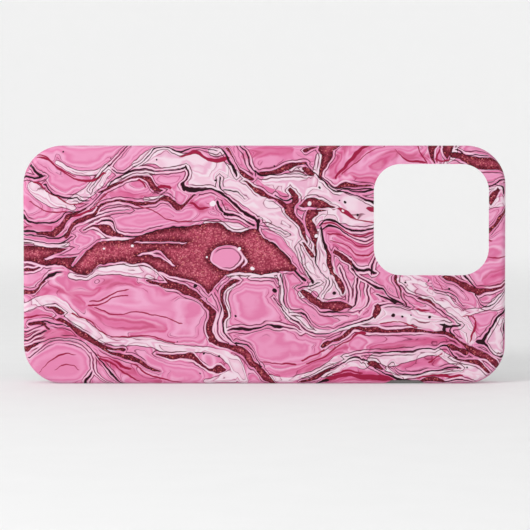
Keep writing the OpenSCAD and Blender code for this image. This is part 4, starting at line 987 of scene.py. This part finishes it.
def imprint_height(x, z):
    """1 over the ring and bar magnets that lie under the cloth, 0 away from them."""
    ring = abs(math.hypot(x, z - MID_Z) - RING_RADIUS) - RING_HALF_WIDTH
    bar = max(abs(x - BAR_X) - BAR_HALF[0], abs(z - MID_Z) - BAR_HALF[1])
    return smooth_step(min(ring, bar), *IMPRINT_EDGE)


def cut_into_grid(bm, low, high):
    """Cuts the plate along lines one step apart, so that its face can bend."""
    for axis, start, end in ((0, low.x, high.x), (2, low.z, high.z)):
        normal = Vector((axis == 0, 0, axis == 2))
        count = int((end - start) / (CLOTH_STEP * MM))
        for k in range(1, count + 1):
            bmesh.ops.bisect_plane(bm, geom=bm.verts[:] + bm.edges[:] + bm.faces[:], dist=SAME_PLACE_M,
                                   plane_co=normal * (start + k * CLOTH_STEP * MM), plane_no=normal)


def settle(bm, high):
    """Lowers the cloth's upper face: rolled over at its cut edges, raised over the magnets."""
    top = [v for v in bm.verts if v.co.y > high.y - 1e-6]
    edge = [v for v in top if any(abs(f.normal.y) < 0.5 for f in v.link_faces)]
    tree = kdtree.KDTree(len(edge))
    for index, vert in enumerate(edge):
        tree.insert(vert.co, index)
    tree.balance()
    for vert, inward in [(v, tree.find(v.co)[2] / MM) for v in top]:
        x, z = vert.co.x / MM, vert.co.z / MM
        wave = noise.noise(Vector((x * WAVES_PER_MM, z * WAVES_PER_MM, 3.0)))
        sink = CLOTH_SINK * (1 - imprint_height(x, z))
        sink += CLOTH_WAVE * (0.5 + 0.5 * wave)
        sink += CLOTH_ROLL * (1 - smooth_step(inward, 0.0, ROLL_REACH))
        vert.co.y -= min(sink, SINK_LIMIT) * MM


def lining_cloth():
    """The microfibre lining, glued to the liner's floor, in place of its plain CAD plate."""
    low, high = [Vector(corner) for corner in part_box("microfibre_lining")]
    bm = bmesh.new()
    bm.from_mesh(bpy.data.objects["microfibre_lining"].data)
    bmesh.ops.remove_doubles(bm, verts=bm.verts[:], dist=SAME_PLACE_M)
    cut_into_grid(bm, low, high)
    bm.normal_update()
    settle(bm, high)
    for face in bm.faces:
        face.smooth = True
    mesh = bpy.data.meshes.new("lining_cloth")
    bm.to_mesh(mesh)
    bm.free()
    cloth = bpy.data.objects.new("lining_cloth", mesh)
    bpy.context.collection.objects.link(cloth)
    cloth.data.materials.append(microfibre_material())
    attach(cloth, "liner")
    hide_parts("microfibre_lining")


# ---------------------------------------------------------------- stage, light and camera
WHITE = (1, 1, 1, 1)
PAPER_TONES = [(0.74, 0.74, 0.74, 1), (0.71, 0.71, 0.71, 1)]
FLOOR_GLOW = 0.135
WALL_GLOW = 0.285
GLOW_FADE = (200.0, 1600.0)
WORLD_STRENGTH = 0.62
FLOOR_RADIUS_M = 1.6
BEND_RADIUS_M = 1.2
WALL_TOP_M = 3.2
BEND_STEPS = 16
BOWL_SIDES = 96
KEY_AZIMUTH = math.radians(45)
KEY_ELEVATION = math.radians(24)
KEY_DISTANCE_M = 1.4
KEY_SIZE_M = 0.35
KEY_POWER = 10.5
KEY_TARGET_M = Vector((0, 0, 0.04))
LENS = 150.0
SENSOR = 36.0
# Share of the picture's width that the case takes up
CASE_SHARE = 0.91094
CAMERA_ELEVATION = math.radians(2.0)
CAMERA_TARGET_M = Vector((0.0002, BACK_Y * MM, 0.0406))


def look_at(obj, place, target):
    obj.location = place
    obj.rotation_euler = (target - place).to_track_quat("-Z", "Y").to_euler()


def bowl_mesh():
    """A flat floor that curves up to walls far away on every side."""
    profile = [(0.0, 0.0), (FLOOR_RADIUS_M, 0.0)]
    for i in range(1, BEND_STEPS + 1):
        angle = math.pi / 2 * i / BEND_STEPS
        profile.append((FLOOR_RADIUS_M + BEND_RADIUS_M * math.sin(angle),
                        BEND_RADIUS_M * (1 - math.cos(angle))))
    profile.append((FLOOR_RADIUS_M + BEND_RADIUS_M, WALL_TOP_M))
    turns = [2 * math.pi * k / BOWL_SIDES for k in range(BOWL_SIDES)]
    verts = [(0.0, 0.0, 0.0)]
    for radius, z in profile[1:]:
        verts += [(radius * math.cos(turn), radius * math.sin(turn), z) for turn in turns]
    faces = [(0, 1 + k, 1 + (k + 1) % BOWL_SIDES) for k in range(BOWL_SIDES)]
    for ring in range(len(profile) - 2):
        inner = 1 + ring * BOWL_SIDES
        outer = inner + BOWL_SIDES
        for k in range(BOWL_SIDES):
            other = (k + 1) % BOWL_SIDES
            faces.append((inner + k, outer + k, outer + other, inner + other))
    mesh = bpy.data.meshes.new("studio_bowl")
    mesh.from_pydata(verts, [], faces)
    for polygon in mesh.polygons:
        polygon.use_smooth = True
    return mesh


def paper_material():
    """Pale matt paper that glows a little, more on the far walls."""
    material, g, point = new_material("studio_paper")
    tone = g.mix(g.noise(point, 0.06, 3.0), *PAPER_TONES)
    x, y, _ = g.split(point)
    far = g.fade(g.vector("LENGTH", g.join(x, y)), *GLOW_FADE)
    glow = g.math("MULTIPLY_ADD", far, WALL_GLOW - FLOOR_GLOW, FLOOR_GLOW)
    finish_material(g, Base_Color=tone, Roughness=0.9, Specular_IOR_Level=0.0,
                    Emission_Color=WHITE, Emission_Strength=glow)
    return material


def backdrop():
    bowl = bpy.data.objects.new("studio_bowl", bowl_mesh())
    bpy.context.collection.objects.link(bowl)
    bowl.data.materials.append(paper_material())


def studio_light():
    """Even light from all round, and one soft key from the front left."""
    world = bpy.data.worlds.new("studio_world")
    bpy.context.scene.world = world
    world.use_nodes = True
    background = world.node_tree.nodes["Background"]
    background.inputs["Color"].default_value = WHITE
    background.inputs["Strength"].default_value = WORLD_STRENGTH
    data = bpy.data.lights.new("key_left", "AREA")
    data.size = KEY_SIZE_M
    data.energy = KEY_POWER
    key = bpy.data.objects.new("key_left", data)
    bpy.context.collection.objects.link(key)
    flat = KEY_DISTANCE_M * math.cos(KEY_ELEVATION)
    place = Vector((-flat * math.sin(KEY_AZIMUTH), -flat * math.cos(KEY_AZIMUTH),
                    KEY_DISTANCE_M * math.sin(KEY_ELEVATION)))
    look_at(key, place, KEY_TARGET_M)


def camera():
    data = bpy.data.cameras.new("photo_camera")
    data.sensor_width = SENSOR
    data.lens = LENS
    data.clip_start, data.clip_end = 0.01, 30.0
    obj = bpy.data.objects.new("photo_camera", data)
    bpy.context.collection.objects.link(obj)
    distance = LENS / SENSOR * (2 * HALF_LENGTH * MM) / CASE_SHARE
    away = Vector((0, -math.cos(CAMERA_ELEVATION), math.sin(CAMERA_ELEVATION))) * distance
    look_at(obj, CAMERA_TARGET_M + away, CAMERA_TARGET_M)
    bpy.context.scene.camera = obj


dress_nodes()
lining_cloth()
backdrop()
studio_light()
camera()
bpy.context.scene.view_settings.view_transform = "Standard"
